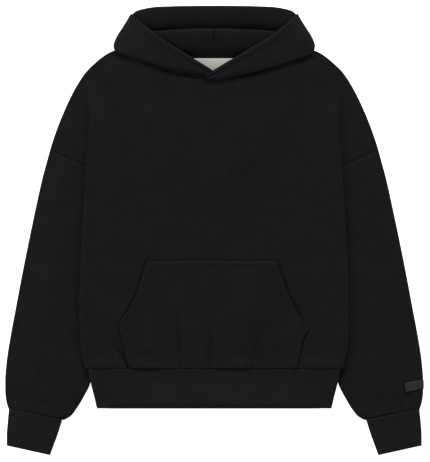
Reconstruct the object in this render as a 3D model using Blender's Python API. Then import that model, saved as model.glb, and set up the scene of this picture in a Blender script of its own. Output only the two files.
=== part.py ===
"""Pullover hoodie laid flat on its back, front up and hood towards +Y.

Every cut piece is its own wall of cloth. Sizes are in millimetres and turned to metres when a
mesh is made. The wearer's left is +X. Each wall starts as the sheet at the middle of its
thickness, and a Solidify modifier gives it that thickness.
"""

import math
from collections import namedtuple

import bmesh
import bpy

MM = 0.001

# Cloth and seams
FLEECE = 2.2
RIB = 2.6
LABEL_CLOTH = 0.6
PATCH_RUBBER = 0.9
SEAM_GAP = 0.3
AIR = 1.5  # left between two layers that are folded onto each other
LAYER = FLEECE + AIR  # from the middle of one layer to the middle of the next
FOLD_RADIUS = LAYER / 2
TABLE_LAYER = FLEECE / 2  # height of the middle of a layer that lies on the table

# Heights in the stack at the sides: sleeve below, then two layers of the body
PANEL_LAYER = TABLE_LAYER + LAYER  # the front lying on the back
RETURN_LAYER = PANEL_LAYER + LAYER  # the body's side turned under, over the sleeve
TOP_LAYER = RETURN_LAYER + LAYER  # the front above that
CROWN = 1.6  # extra air in the middle of the body

# Lengths along the body
BACK_NECK_Y = 328.5
FRONT_NECK_Y = 288.3
CREASE_TOP_Y = 252.0  # where the fold beside the armhole starts from nothing
CREASE_FULL = 34.0  # length over which it turns fully under
ARMHOLE_OUT = (311.0, 152.5)
ARMHOLE_IN = (220.0, 111.0)
FULL_TUCK = 26.2  # depth of that fold at the underarm
HEM_SEAM_Y = -263.2
HEM_Y = -337.8

# Width over which the body climbs from the table onto a sleeve
RAMP = 42.0
SHORT_RAMP = 13.0

# Hood bag that hangs behind the back, between the table and the back panel
BAG_HALF_WIDTH = 168.0
BAG_LENGTH = 268.0
BAG_THICKNESS = 5.8
BAG_LIFT = BAG_THICKNESS + 0.7

Row = namedtuple("Row", "y x")
Ring = namedtuple("Ring", "inner_x inner_y outer_x outer_y loft")
PocketRow = namedtuple("PocketRow", "y right left")
BagRow = namedtuple("BagRow", "x bottom neck fold top band_rise")
LobeRow = namedtuple("LobeRow", "rim_x rim_y edge_x edge_y rim_z edge_z height")

# Half width of the outline from the neck point down to the armhole
SHOULDER = [
    Row(352.0, 131.0),
    Row(346.0, 168.0),
    Row(339.0, 195.0),
    Row(329.7, 210.7),
    Row(318.0, 225.0),
    Row(301.0, 242.3),
    Row(278.4, 258.0),
    Row(255.6, 270.5),
    Row(232.8, 281.3),
    Row(210.0, 291.0),
    Row(187.2, 299.7),
    Row(164.4, 307.4),
    Row(152.5, 311.0),
]

# Half width of the neckline of each panel
FRONT_NECK = [
    Row(352.0, 123.0),
    Row(346.0, 121.0),
    Row(339.0, 119.0),
    Row(329.7, 116.0),
    Row(318.0, 109.0),
    Row(301.0, 85.0),
    Row(292.0, 48.0),
    Row(FRONT_NECK_Y, 0.0),
]
BACK_NECK = [
    Row(352.0, 123.0),
    Row(346.0, 113.0),
    Row(339.0, 96.0),
    Row(331.5, 62.0),
    Row(BACK_NECK_Y, 0.0),
]

# Half width of the body at the fold that shows over the sleeve
BODY_EDGE = [
    Row(352.0, 240.0),
    Row(232.0, 239.5),
    Row(191.0, 239.5),
    Row(140.0, 243.7),
    Row(48.0, 251.3),
    Row(-46.0, 255.1),
    Row(-141.0, 257.9),
    Row(-190.0, 256.6),
    Row(-220.0, 252.7),
    Row(-243.0, 248.0),
    Row(-257.0, 245.2),
    Row(HEM_SEAM_Y, 243.0),
]

# Half width at the inner fold of the sleeve, most of it hidden under the body
SLEEVE_INNER = [
    Row(111.0, 220.0),
    Row(60.0, 221.0),
    Row(-60.0, 223.5),
    Row(-180.0, 227.5),
    Row(-235.0, 229.5),
    Row(-264.0, 231.5),
    Row(-288.0, 235.0),
    Row(-299.0, 240.4),
]

# Straight lines across the sleeve, from its inner fold to its outer fold
SLEEVE_RINGS = [
    Ring(220.2, 110.3, 310.7, 151.4, 0.0),
    Ring(220.9, 62.0, 325.0, 101.0, 1.0),
    Ring(222.0, 4.0, 338.4, 41.0, 1.5),
    Ring(223.4, -56.0, 351.0, -19.0, 1.7),
    Ring(225.0, -116.0, 363.6, -82.0, 1.7),
    Ring(227.3, -178.0, 375.8, -147.0, 1.7),
    Ring(229.3, -231.0, 386.6, -205.0, 1.8),
    Ring(232.2, -270.0, 393.4, -250.0, 2.0),
    Ring(236.8, -291.0, 396.0, -284.0, 2.0),
    Ring(248.3, -314.5, 396.0, -304.0, 2.0),
    Ring(261.9, -337.2, 394.4, -321.0, 1.9),
    Ring(274.1, -352.4, 391.6, -332.5, 1.5),
    Ring(286.4, -359.3, 389.3, -338.8, 0.6),
]

CUFF_RINGS = [
    Ring(290.2, -360.7, 388.3, -340.7, 0.2),
    Ring(301.6, -395.2, 392.2, -376.0, 0.6),
    Ring(313.0, -426.3, 392.9, -408.7, 0.2),
]

# Half width of the hem band
HEM_BAND = [
    Row(HEM_SEAM_Y - SEAM_GAP, 238.6),
    Row(-277.0, 236.0),
    Row(-291.7, 232.5),
    Row(-307.0, 228.9),
    Row(-322.0, 225.2),
    Row(-335.0, 222.2),
    Row(HEM_Y, 220.6),
]

POCKET = [
    PocketRow(-58.5, 118.4, 127.9),
    PocketRow(-86.5, 127.9, 136.2),
    PocketRow(-110.0, 136.4, 143.6),
    PocketRow(-130.0, 144.8, 150.3),
    PocketRow(-149.0, 153.7, 160.9),
    PocketRow(-165.0, 162.0, 171.3),
    PocketRow(-178.5, 171.0, 181.8),
    PocketRow(-185.3, 177.3, 180.3),
    PocketRow(-208.0, 167.8, 174.3),
    PocketRow(-235.0, 162.0, 168.0),
    PocketRow(-262.6, 156.4, 160.9),
]

# One half of the hood where it lies on the table, as sections along Y. From the bottom of the bag
# that hangs behind the back, past the back's neck seam, to the fold and the far band's top edge.
HOOD_BAG = [
    BagRow(0.3, 130.0, 328.5, 386.6, 426.4, 1.6),
    BagRow(30.0, 136.5, 330.4, 386.3, 426.2, 1.6),
    BagRow(62.0, 159.0, 332.0, 385.2, 425.8, 1.6),
    BagRow(90.0, 200.0, 338.3, 383.2, 425.0, 1.6),
    BagRow(112.0, 262.0, 346.2, 380.4, 423.8, 1.8),
    BagRow(119.0, 300.0, 350.3, 379.4, 423.0, 2.0),
    BagRow(124.0, 356.0, 357.6, 378.6, 422.2, 2.2),
    BagRow(148.0, 353.5, 355.0, 375.0, 416.5, 2.6),
    BagRow(160.0, 351.5, 353.0, 371.0, 404.0, 2.6),
    BagRow(176.0, 348.5, 350.0, 364.0, 376.0, 2.6),
    BagRow(185.0, 347.0, 348.2, 356.0, 361.0, 2.6),
]

# The turned-out front of each half, from the rim (a free edge) to the rolled edge below and
# outside. The wearer's left half laps over the right one at the middle of the neck.
LEFT_LOBE = [
    LobeRow(-20.6, 289.4, -19.6, 287.4, 22.6, 22.8, 2.4),
    LobeRow(-2.1, 303.6, -2.1, 285.4, 22.4, 20.4, 5.2),
    LobeRow(19.0, 316.4, 33.0, 290.9, 17.6, 14.2, 9.0),
    LobeRow(46.0, 332.6, 74.0, 300.8, 14.6, 13.2, 9.4),
    LobeRow(61.0, 342.2, 94.0, 306.3, 13.8, 12.6, 9.4),
    LobeRow(76.6, 352.5, 116.0, 313.2, 13.2, 12.0, 9.4),
    LobeRow(87.0, 359.4, 134.0, 318.4, 13.2, 9.0, 9.4),
    LobeRow(97.0, 366.0, 152.0, 324.2, 13.2, 8.4, 9.4),
    LobeRow(111.0, 375.6, 187.2, 339.4, 13.2, 6.0, 9.2),
    LobeRow(122.0, 383.4, 190.7, 351.0, 12.4, 3.4, 9.6),
    LobeRow(132.0, 390.6, 184.9, 367.4, 9.8, 0.8, 10.4),
    LobeRow(142.0, 398.6, 174.0, 385.0, 7.8, 0.6, 9.2),
    LobeRow(150.0, 405.2, 164.0, 401.2, 6.2, 0.6, 7.6),
    LobeRow(154.6, 409.6, 158.2, 412.2, 5.4, 0.8, 5.6),
]
RIGHT_LOBE = [
    LobeRow(8.0, 298.4, 4.0, 291.6, 14.2, 14.0, 3.0),
    LobeRow(-2.1, 303.6, -18.4, 294.1, 14.0, 13.6, 5.0),
    LobeRow(-19.0, 314.0, -40.0, 296.4, 13.8, 13.4, 7.6),
    LobeRow(-46.0, 331.2, -78.0, 302.8, 13.4, 13.2, 9.0),
    LobeRow(-61.5, 341.4, -97.0, 308.6, 13.4, 12.6, 9.4),
    LobeRow(-76.6, 351.4, -118.0, 315.4, 13.2, 12.0, 9.4),
    LobeRow(-87.0, 359.0, -134.0, 320.8, 13.2, 9.0, 9.4),
    LobeRow(-97.0, 366.0, -152.0, 327.0, 13.2, 8.4, 9.4),
    LobeRow(-111.0, 376.4, -187.2, 340.4, 13.2, 6.0, 9.2),
    LobeRow(-122.0, 384.4, -190.7, 351.0, 12.4, 3.4, 9.6),
    LobeRow(-132.0, 391.6, -184.9, 367.4, 9.8, 0.8, 10.4),
    LobeRow(-142.0, 399.4, -174.0, 385.0, 7.8, 0.6, 9.2),
    LobeRow(-150.0, 405.8, -164.0, 401.2, 6.2, 0.6, 7.6),
    LobeRow(-154.0, 409.2, -158.2, 412.2, 5.4, 0.8, 5.6),
]
RIM_HEM = 3.4  # the rim's turned hem, two layers pressed together
FOOT_REACH = 86.0  # half width over which the hood's foot shows at the neckline

LABEL_HALF_WIDTH = 43.0
LABEL_DROP = 29.0

PATCH_START = 0.785  # share of the sleeve's width at the patch's inner end
PATCH_TOP = 8.02  # in ring numbers, counted along the sleeve
PATCH_BOTTOM = 8.86
PATCH_TILT = 0.2  # how many rings lower its inner end lies
PATCH_WRAP = math.radians(108.0)  # how far it goes round the fold

Finish = namedtuple("Finish", "name colour roughness")
FLEECE_FINISH = Finish("fleece", (0.012, 0.012, 0.013), 0.92)
RIB_FINISH = Finish("rib_knit", (0.011, 0.011, 0.012), 0.9)
LABEL_FINISH = Finish("woven_label", (0.47, 0.47, 0.48), 0.6)
PATCH_FINISH = Finish("patch_rubber", (0.035, 0.035, 0.037), 0.55)


def smooth(share):
    """A soft step from 0 to 1 as the share goes from 0 to 1."""
    share = min(max(share, 0.0), 1.0)
    return share * share * (3.0 - 2.0 * share)


def mix(low, high, share):
    return low + (high - low) * share


def read(table, at):
    """x at the height y = at, on a smooth curve through the table's rows."""
    rows = sorted(table, key=lambda row: row.y)
    at = min(max(at, rows[0].y), rows[-1].y)
    steps = [(b.x - a.x) / (b.y - a.y) for a, b in zip(rows, rows[1:])]
    slopes = [steps[0]]
    for before, after in zip(steps, steps[1:]):
        same_way = before * after > 0.0
        slopes.append(2.0 * before * after / (before + after) if same_way else 0.0)
    slopes.append(steps[-1])
    place = next(i for i in range(len(rows) - 1) if at <= rows[i + 1].y)
    low, high = rows[place], rows[place + 1]
    span = high.y - low.y
    t = (at - low.y) / span
    return (
        low.x * (1.0 + 2.0 * t) * (1.0 - t) ** 2
        + high.x * t * t * (3.0 - 2.0 * t)
        + slopes[place] * span * t * (1.0 - t) ** 2
        - slopes[place + 1] * span * t * t * (1.0 - t)
    )


def bag_lift(x, y):
    """How far the hood bag below it lifts the body."""
    down = max(0.0, BACK_NECK_Y - y) / BAG_LENGTH
    return BAG_LIFT * smooth((1.15 - math.hypot(x / BAG_HALF_WIDTH, down)) / 0.4)


def climb(x, y):
    """0 where the body lies on the table and 1 where it lies on a sleeve."""
    return smooth((abs(x) - read(SLEEVE_INNER, y) + RAMP) / (RAMP - 3.5))


def armhole_x(y):
    """The armhole seam is a straight line on the laid garment."""
    share = (y - ARMHOLE_IN[1]) / (ARMHOLE_OUT[1] - ARMHOLE_IN[1])
    return mix(ARMHOLE_IN[0], ARMHOLE_OUT[0], share)


def front_height(x, y):
    """Middle of the front's thickness where it is the top layer."""
    to_side = smooth((read(BODY_EDGE, y) - 62.0 - abs(x)) / 60.0)
    to_hem = smooth((y - HEM_SEAM_Y) / 50.0)
    to_neck = smooth((300.0 - y) / 60.0)
    height = PANEL_LAYER + bag_lift(x, y) + CROWN * to_side * to_hem * to_neck
    if y > ARMHOLE_IN[1]:
        inner = read(BODY_EDGE, y) - tuck_depth(y)
        width = mix(24.0, RAMP, smooth((160.0 - y) / 49.0))
        return height + crease_drop(y) * smooth((abs(x) - inner + width) / (width - 3.5))
    return height + (TOP_LAYER - PANEL_LAYER) * climb(x, y)


def crease_turn(y):
    """Angle that the cloth turns through at each fold of the crease, in radians."""
    return math.pi * min(max((CREASE_TOP_Y - y) / CREASE_FULL, 0.0), 1.0)


def tuck_depth(y):
    """From the body's fold in to the fold under it."""
    share = max(0.0, (CREASE_TOP_Y - y) / (CREASE_TOP_Y - ARMHOLE_IN[1]))
    return mix(2.0 * FOLD_RADIUS + 1.0, FULL_TUCK, share)


def fold_length(y):
    return max(FOLD_RADIUS * crease_turn(y), 3.0)


def return_length(y):
    return max(1.5, tuck_depth(y) - 2.0 * FOLD_RADIUS)


TOP_SHARES = (0.0, 0.24, 0.47, 0.62, 0.72, 0.79, 0.86, 1.0)
TOP_STEPS = len(TOP_SHARES) - 1
TAIL_STEPS = 4
BEND_STEPS = 4
FOLD_STEPS = 2 * BEND_STEPS + 1
BACK_SHARES = (0.0, 0.11, 0.22, 0.33, 0.44, 0.55, 0.67, 0.82, 1.0)
ARC_ANGLES = (42.0, 80.0, 90.0)


class Strip:
    """Walks along one section of cloth, in x and z, and keeps the points that it passes."""

    def __init__(self, x, z):
        self.x = x
        self.z = z
        self.heading = 0.0
        self.points = [(x, z)]

    def ahead(self, length, steps):
        for _ in range(steps):
            self.x += length / steps * math.cos(self.heading)
            self.z += length / steps * math.sin(self.heading)
            self.points.append((self.x, self.z))

    def bend(self, length, angle, steps):
        """Turns through the angle on an arc of this length."""
        for _ in range(steps):
            half = angle / steps / 2.0
            chord = length / steps * (math.sin(half) / half if abs(half) > 1e-6 else 1.0)
            self.heading += half
            self.x += chord * math.cos(self.heading)
            self.z += chord * math.sin(self.heading)
            self.heading += half
            self.points.append((self.x, self.z))


def crease_drop(y):
    """How much lower the cloth lies outside the crease than inside it."""
    strip = Strip(0.0, 0.0)
    fold_under(strip, y)
    return -strip.z


def fold_under(strip, y):
    strip.bend(fold_length(y), -crease_turn(y), BEND_STEPS)
    strip.ahead(return_length(y), 1)
    strip.bend(fold_length(y), crease_turn(y), BEND_STEPS)


def outline_arc(outer, stretch, z_flat, z_seam):
    """A quarter turn from the flat down or up to the seam on the outline."""
    points = []
    for angle in ARC_ANGLES:
        x = outer - FOLD_RADIUS * stretch * (1.0 - math.sin(math.radians(angle)))
        points.append((x, z_seam + (z_flat - z_seam) * math.cos(math.radians(angle))))
    return points


def outline_gap(y):
    """Half the gap at the outline's seam, wider where the seam runs into the armhole."""
    return SEAM_GAP * (1.0 + 1.2 * smooth((190.0 - y) / 30.0))


def outline_stretch(y):
    """The outline slants, so an arc square to it is longer along x."""
    slope = (read(SHOULDER, y + 2.0) - read(SHOULDER, y - 2.0)) / 4.0
    return math.hypot(1.0, slope)


def front_row_above(y):
    """Half a section of the front from the neck to the armhole, from the middle outwards."""
    edge = read(BODY_EDGE, y)
    start = read(FRONT_NECK, y) if y > FRONT_NECK_Y else 0.0
    radius = fold_length(y) / max(crease_turn(y), 1e-3)
    turn = min(crease_turn(y), math.pi / 2.0)
    reach = fold_length(y) if crease_turn(y) < 1e-3 else radius * math.sin(turn)
    top_end = edge - reach
    at_armhole = y < ARMHOLE_OUT[1] - 0.01
    outer = armhole_x(y) if at_armhole else read(SHOULDER, y)
    if outer < edge + 6.0 and y > CREASE_TOP_Y:
        top_end = mix(start, outer, 0.7)
    points = []
    for share in TOP_SHARES:
        x = mix(start, top_end, share)
        points.append((x, front_height(x, y)))
    if outer < edge + 6.0 and y > CREASE_TOP_Y:
        last = outer - FOLD_RADIUS * outline_stretch(y)
        steps = FOLD_STEPS + TAIL_STEPS - len(ARC_ANGLES)
        for step in range(1, steps + 1):
            x = mix(top_end, last, step / steps)
            points.append((x, front_height(x, y)))
        z_flat = front_height(last, y)
        z_seam = z_flat - FOLD_RADIUS + outline_gap(y)
        return points + outline_arc(outer, outline_stretch(y), z_flat, z_seam)
    strip = Strip(points[-1][0], points[-1][1])
    fold_under(strip, y)
    points += strip.points[1:]
    x, z = points[-1]
    z_end = PANEL_LAYER + bag_lift(outer, y)
    if at_armhole:
        for step in range(1, TAIL_STEPS + 1):
            share = step / TAIL_STEPS
            points.append((mix(x, max(outer, x + 0.5), share), mix(z, z_end, share)))
        return points
    last = outer - FOLD_RADIUS * outline_stretch(y)
    steps = TAIL_STEPS - len(ARC_ANGLES)
    for step in range(1, steps + 1):
        share = step / steps
        points.append((mix(x, last, share), mix(z, z_end, share)))
    z_seam = z_end - FOLD_RADIUS + outline_gap(y)
    return points + outline_arc(outer, outline_stretch(y), z_end, z_seam)


def underarm_row():
    """The row where the body leaves the sleeve: it ends halfway round the inner fold."""
    y = ARMHOLE_IN[1]
    points = front_row_above(y)[: TOP_STEPS + BEND_STEPS + 2]
    x, z = points[-1]
    steps = BEND_STEPS + TAIL_STEPS
    for step in range(1, steps + 1):
        angle = math.pi / 2.0 * step / steps
        points.append(
            (x - FOLD_RADIUS * math.sin(angle), z - FOLD_RADIUS * (1.0 - math.cos(angle)))
        )
    return points


def side_seam_x(y):
    """The side seam lies under the climb onto the sleeve, close to the sleeve at the underarm."""
    return read(SLEEVE_INNER, y) - mix(SHORT_RAMP, RAMP, smooth((ARMHOLE_IN[1] - y) / 60.0))


def front_row_below(y):
    """Half a section of the front under the armhole: out, round the side fold and under."""
    edge = read(BODY_EDGE, y)
    top_end = edge - FOLD_RADIUS
    points = []
    for share in TOP_SHARES:
        x = top_end * share
        points.append((x, front_height(x, y)))
    strip = Strip(top_end, points[-1][1])
    strip.bend(FOLD_RADIUS * math.pi, -math.pi, BEND_STEPS)
    landing = read(SLEEVE_INNER, y) - 3.5
    strip.ahead(strip.x - landing, 1)
    points += strip.points[1:]
    x, z = points[-1]
    end = side_seam_x(y) + SEAM_GAP / 2.0
    steps = BEND_STEPS + TAIL_STEPS
    for step in range(1, steps + 1):
        share = step / steps
        points.append((mix(x, end, share), mix(z, TABLE_LAYER, smooth(1.15 * share))))
    return points


def front_rows():
    above = [352.0, 346.0, 339.0, 329.7, 318.0, 301.0, 292.0, FRONT_NECK_Y, 270.0]
    above += [CREASE_TOP_Y, 241.0, 230.0, 218.0, 190.0, 152.5, 151.5, 126.0, 115.0]
    rows = [(y, front_row_above(y)) for y in above]
    rows.append((ARMHOLE_IN[1], underarm_row()))
    for y in (105.0, 70.0, 30.0, -40.0, -140.0, -195.0, -235.0, HEM_SEAM_Y):
        rows.append((y, front_row_below(y)))
    return [[(x, y, z) for x, z in points] for y, points in rows]


def back_row(y):
    """Half a section of the back, flat on the table or on the hood bag."""
    start = read(BACK_NECK, y) if y > BACK_NECK_Y else 0.0
    on_outline = y >= ARMHOLE_OUT[1] - 0.01
    if on_outline:
        outer = read(SHOULDER, y)
    elif y > ARMHOLE_IN[1]:
        outer = armhole_x(y)
    else:
        clearance = SEAM_GAP / 2.0 + 3.9 * smooth(1.0 - (ARMHOLE_IN[1] - y) / 25.0)
        seam = side_seam_x(y) - clearance
        outer = mix(ARMHOLE_IN[0], seam, smooth((ARMHOLE_IN[1] - y) / 6.0))
    last = outer - FOLD_RADIUS * outline_stretch(y)
    points = []
    for share in BACK_SHARES:
        x = mix(start, last, share)
        points.append((x, TABLE_LAYER + bag_lift(x, y)))
    z_flat = points[-1][1]
    if on_outline:
        z_seam = z_flat + FOLD_RADIUS - outline_gap(y)
        return points + outline_arc(outer, outline_stretch(y), z_flat, z_seam)
    for step in (1, 2, 3):
        points.append((mix(last, outer, step / 3), z_flat))
    return points


def back_rows():
    levels = [352.0, 346.0, 339.0, 331.5, BACK_NECK_Y, 318.0, 301.0, 278.4, 252.0, 218.0, 190.0]
    levels += [152.5, 151.5, 126.0, 115.0, 111.0, 105.0, 70.0, 30.0, -60.0, -160.0, -235.0]
    levels.append(HEM_SEAM_Y)
    return [[(x, y, z) for x, z in back_row(y)] for y in levels]


def tube_ring(ring, side, thickness, step_count):
    """A flattened tube's section on a straight line from its inner to its outer fold."""
    radius = (thickness + AIR) / 2.0
    points = []
    for across, height in tube_section(ring, radius, step_count):
        x = mix(ring.inner_x, ring.outer_x, across)
        y = mix(ring.inner_y, ring.outer_y, across)
        points.append((side * x, y, thickness / 2.0 + height))
    return points


def tube_section(ring, radius, step_count):
    """Shares across a flattened tube, and heights over its lower layer, once round."""
    width = math.hypot(ring.outer_x - ring.inner_x, ring.outer_y - ring.inner_y)
    curl = radius / width
    places = []
    for step in range(step_count + 1):
        places.append((mix(curl, 1.0 - curl, step / step_count), 0.0))
    for step in range(1, 4):
        angle = math.pi * step / 4
        across = 1.0 - curl + curl * math.sin(angle)
        places.append((across, radius * (1.0 - math.cos(angle))))
    for step in range(step_count + 1):
        across = mix(1.0 - curl, curl, step / step_count)
        places.append((across, 2.0 * radius + ring.loft * swell(across)))
    for step in range(1, 4):
        angle = math.pi * step / 4
        across = curl - curl * math.sin(angle)
        places.append((across, radius * (1.0 + math.cos(angle))))
    return places


def swell(across):
    """Where the upper layer of a sleeve rises: not where the body lies on it."""
    return smooth((across - 0.2) / 0.25) * smooth((1.0 - across) / 0.22)


def band_ring(y):
    """The hem band's section, once round. Its corners lie on the sleeves, as the body does."""
    half = read(HEM_BAND, y)
    radius = (RIB + AIR) / 2.0
    steps = 11
    fade = smooth((y + 306.0) / 16.0)

    def lift(x):
        return (RETURN_LAYER - TABLE_LAYER) * climb(x, max(y, -288.0)) * fade

    points = []
    for step in range(steps + 1):
        x = mix(-half + radius, half - radius, step / steps)
        points.append((x, RIB / 2.0 + lift(x)))
    for step in range(1, 4):
        angle = math.pi * step / 4
        x = half - radius + radius * math.sin(angle)
        points.append((x, RIB / 2.0 + lift(half - radius) + radius * (1.0 - math.cos(angle))))
    for step in range(steps + 1):
        x = mix(half - radius, -half + radius, step / steps)
        points.append((x, RIB / 2.0 + lift(x) + 2.0 * radius))
    for step in range(1, 4):
        angle = math.pi * step / 4
        x = -half + radius - radius * math.sin(angle)
        points.append((x, RIB / 2.0 + lift(half - radius) + radius * (1.0 + math.cos(angle))))
    return [(x, y, z) for x, z in points]


def bag_section(row):
    """A closed section along Y of half a hood where it lies on the table."""
    round_off = min(5.0, (row.neck - row.bottom) / 2.5)
    band = FLEECE + row.band_rise
    nape = BAG_LIFT + FLEECE + 0.2
    return [
        (row.bottom, 0.0),
        (row.bottom, 2.2),
        (row.bottom + round_off, BAG_THICKNESS - 0.6),
        (row.bottom + 2.0 * round_off, BAG_THICKNESS),
        (row.neck + 0.1, BAG_THICKNESS),
        (row.neck + 0.4, nape),
        (row.fold - 6.0, nape + 1.0),
        (row.fold - 1.6, nape + 0.7),
        (row.fold, nape - 1.4),
        (row.fold + 0.6, FLEECE + 0.5),
        (mix(row.fold, row.top, 0.5), FLEECE + 0.4),
        (row.top - 3.0, band),
        (row.top, band - 1.4),
        (row.top, 0.8),
        (row.top - 0.8, 0.0),
    ]


def neck_y(x):
    """The front's neckline as it is cut, in straight runs between its rows."""
    for upper, lower in zip(FRONT_NECK, FRONT_NECK[1:]):
        if lower.x <= abs(x) <= upper.x:
            return mix(lower.y, upper.y, (abs(x) - lower.x) / (upper.x - lower.x))
    return FRONT_NECK[0].y


def lobe_floor(x, y, free):
    """The lowest that a lobe may reach: just over the front where the front lies below it."""
    on_front = abs(x) < read(SHOULDER, y) + 8.0 and y < neck_y(x) + 3.0
    return max(free, front_height(x, y) + FLEECE / 2.0 + 1.1) if on_front else free


def lobe_section(row):
    """A closed section of the turned-out front: rim, outside, rolled edge, foot and underside.

    The foot reaches down to the neckline seam. Away from the neckline it shrinks into the roll.
    """
    width = math.hypot(row.edge_x - row.rim_x, row.edge_y - row.rim_y)
    roll = min(row.height / 2.0, 4.0)
    curl = min(roll / width, 0.35)
    lip = min(0.8 / width, 0.1)

    def at(share):
        return mix(row.rim_x, row.edge_x, share), mix(row.rim_y, row.edge_y, share)

    low = lobe_floor(*at(1.0 - curl), row.edge_z)
    top = low + row.height
    rim_top = row.rim_z + min(RIM_HEM, row.height)
    foot_y = neck_y(row.edge_x) + SEAM_GAP
    has_foot = abs(row.edge_x) < FOOT_REACH and row.edge_y > foot_y + 1.0
    foot_low = PANEL_LAYER + BAG_LIFT - FLEECE / 2.0
    outside = [
        (0.0, rim_top - 0.8),
        (lip, rim_top),
        (0.35, mix(rim_top, top, 0.45) + 0.3),
        (0.68, mix(rim_top, top, 0.85) + 0.4),
        (1.0 - curl, top),
        (1.0 - 0.3 * curl, top - 0.16 * row.height),
        (1.0, top - 0.5 * row.height),
        (1.0 - 0.3 * curl, low + 0.2 * row.height),
    ]
    section = [(*at(share), z) for share, z in outside]
    if has_foot:
        section.append((row.edge_x, foot_y, foot_low + FLEECE))
        section.append((row.edge_x, foot_y, foot_low))
        low = foot_low
    else:
        section.append((*at(1.0 - 0.6 * curl), low + 0.06 * row.height))
        section.append((*at(1.0 - curl), low))
    for share, rise in ((0.72, 0.2), (0.54, 0.4), (0.36, 0.7), (0.18, 0.9)):
        section.append((*at(share), lobe_floor(*at(share), mix(low, row.rim_z, rise))))
    section.append((*at(lip), row.rim_z))
    section.append((*at(0.0), row.rim_z + 0.6))
    return section


def pocket_rows():
    rows = []
    steps = 12
    offset = FLEECE + SEAM_GAP + 0.1
    for row in POCKET:
        points = []
        for step in range(steps + 1):
            x = mix(-row.left, row.right, step / steps)
            points.append((x, row.y, front_height(x, row.y) + offset))
        rows.append(points)
    return rows


def label_rows():
    rows = []
    for y in (BACK_NECK_Y - 0.8, BACK_NECK_Y - LABEL_DROP / 2.0, BACK_NECK_Y - LABEL_DROP):
        points = []
        for step in range(7):
            x = mix(-LABEL_HALF_WIDTH, LABEL_HALF_WIDTH, step / 6)
            height = TABLE_LAYER + bag_lift(x, y) + FLEECE / 2.0
            points.append((x, y, height + SEAM_GAP + LABEL_CLOTH / 2.0))
        rows.append(points)
    return rows


def blend_ring(place):
    """The sleeve's line across at a place between two rings."""
    index = int(place)
    share = place - index
    pairs = zip(SLEEVE_RINGS[index], SLEEVE_RINGS[index + 1])
    return Ring(*(mix(low, high, share) for low, high in pairs))


def patch_point(place, step):
    """A point of the patch: six steps on the sleeve's upper layer, then round its outer fold."""
    radius = (FLEECE + AIR) / 2.0
    offset = FLEECE / 2.0 + SEAM_GAP + PATCH_RUBBER / 2.0
    flat_share = min(step / 5.0, 1.0)
    ring = blend_ring(place + PATCH_TILT * (1.0 - flat_share))
    width = math.hypot(ring.outer_x - ring.inner_x, ring.outer_y - ring.inner_y)
    curl = radius / width
    across = mix(PATCH_START, 1.0 - curl, flat_share)
    height = 2.0 * radius + ring.loft * swell(across) + offset
    if step > 5:
        angle = PATCH_WRAP * (step - 5) / 5.0
        across += (radius + offset) / width * math.sin(angle)
        height = radius + (radius + offset) * math.cos(angle)
    x = mix(ring.inner_x, ring.outer_x, across)
    y = mix(ring.inner_y, ring.outer_y, across)
    return (x, y, FLEECE / 2.0 + height)


def patch_rows():
    """The patch follows the sleeve's upper layer and its outer fold, moved out."""
    places = (PATCH_TOP, mix(PATCH_TOP, PATCH_BOTTOM, 0.5), PATCH_BOTTOM)
    return [[patch_point(place, step) for step in range(11)] for place in places]


def material_for(finish):
    material = bpy.data.materials.get(finish.name) or bpy.data.materials.new(finish.name)
    material.use_nodes = True
    shader = material.node_tree.nodes["Principled BSDF"]
    shader.inputs["Base Color"].default_value = (*finish.colour, 1.0)
    shader.inputs["Roughness"].default_value = finish.roughness
    shader.inputs["Metallic"].default_value = 0.0
    return material


def add_object(name, build, finish):
    """One named object from a bmesh, shaded smooth, with its finish."""
    mesh = bpy.data.meshes.new(name)
    build.to_mesh(mesh)
    build.free()
    mesh.materials.append(material_for(finish))
    mesh.shade_smooth()
    thing = bpy.data.objects.new(name, mesh)
    bpy.context.scene.collection.objects.link(thing)
    return thing


def grid(rows, ring=False, caps=False):
    """A bmesh of quads between rows of points. A ring's rows close on themselves."""
    build = bmesh.new()
    lines = [[build.verts.new((x * MM, y * MM, z * MM)) for x, y, z in row] for row in rows]
    for upper, lower in zip(lines, lines[1:]):
        count = len(upper)
        for i in range(count if ring else count - 1):
            j = (i + 1) % count
            build.faces.new((upper[i], upper[j], lower[j], lower[i]))
    if caps:
        build.faces.new(lines[0])
        build.faces.new(lines[-1])
        bmesh.ops.recalc_face_normals(build, faces=build.faces)
    return build


def wall(name, rows, thickness, finish, ring=False, mirrored=False):
    """A piece of cloth: its middle sheet, mirrored if it is half a panel, made solid."""
    thing = add_object(name, grid(rows, ring), finish)
    if mirrored:
        mirror = thing.modifiers.new("other_half", "MIRROR")
        mirror.use_axis[0] = True
        mirror.merge_threshold = 0.0001
    solid = thing.modifiers.new("cloth", "SOLIDIFY")
    solid.thickness = thickness * MM
    solid.offset = 0.0
    solid.use_even_offset = False
    return thing


def hood_half(name, side, lobe):
    """The half on the table and the turned-out front, joined into one body."""
    sections = [[(side * row.x, y, z) for y, z in bag_section(row)] for row in HOOD_BAG]
    thing = add_object(name, grid(sections, ring=True, caps=True), FLEECE_FINISH)
    turned_out = [lobe_section(row) for row in lobe]
    front = add_object(name + "_front", grid(turned_out, ring=True, caps=True), FLEECE_FINISH)
    front.hide_render = True
    front.display_type = "WIRE"
    join = thing.modifiers.new("front", "BOOLEAN")
    join.operation = "UNION"
    join.solver = "EXACT"
    join.object = front
    return thing


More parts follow.
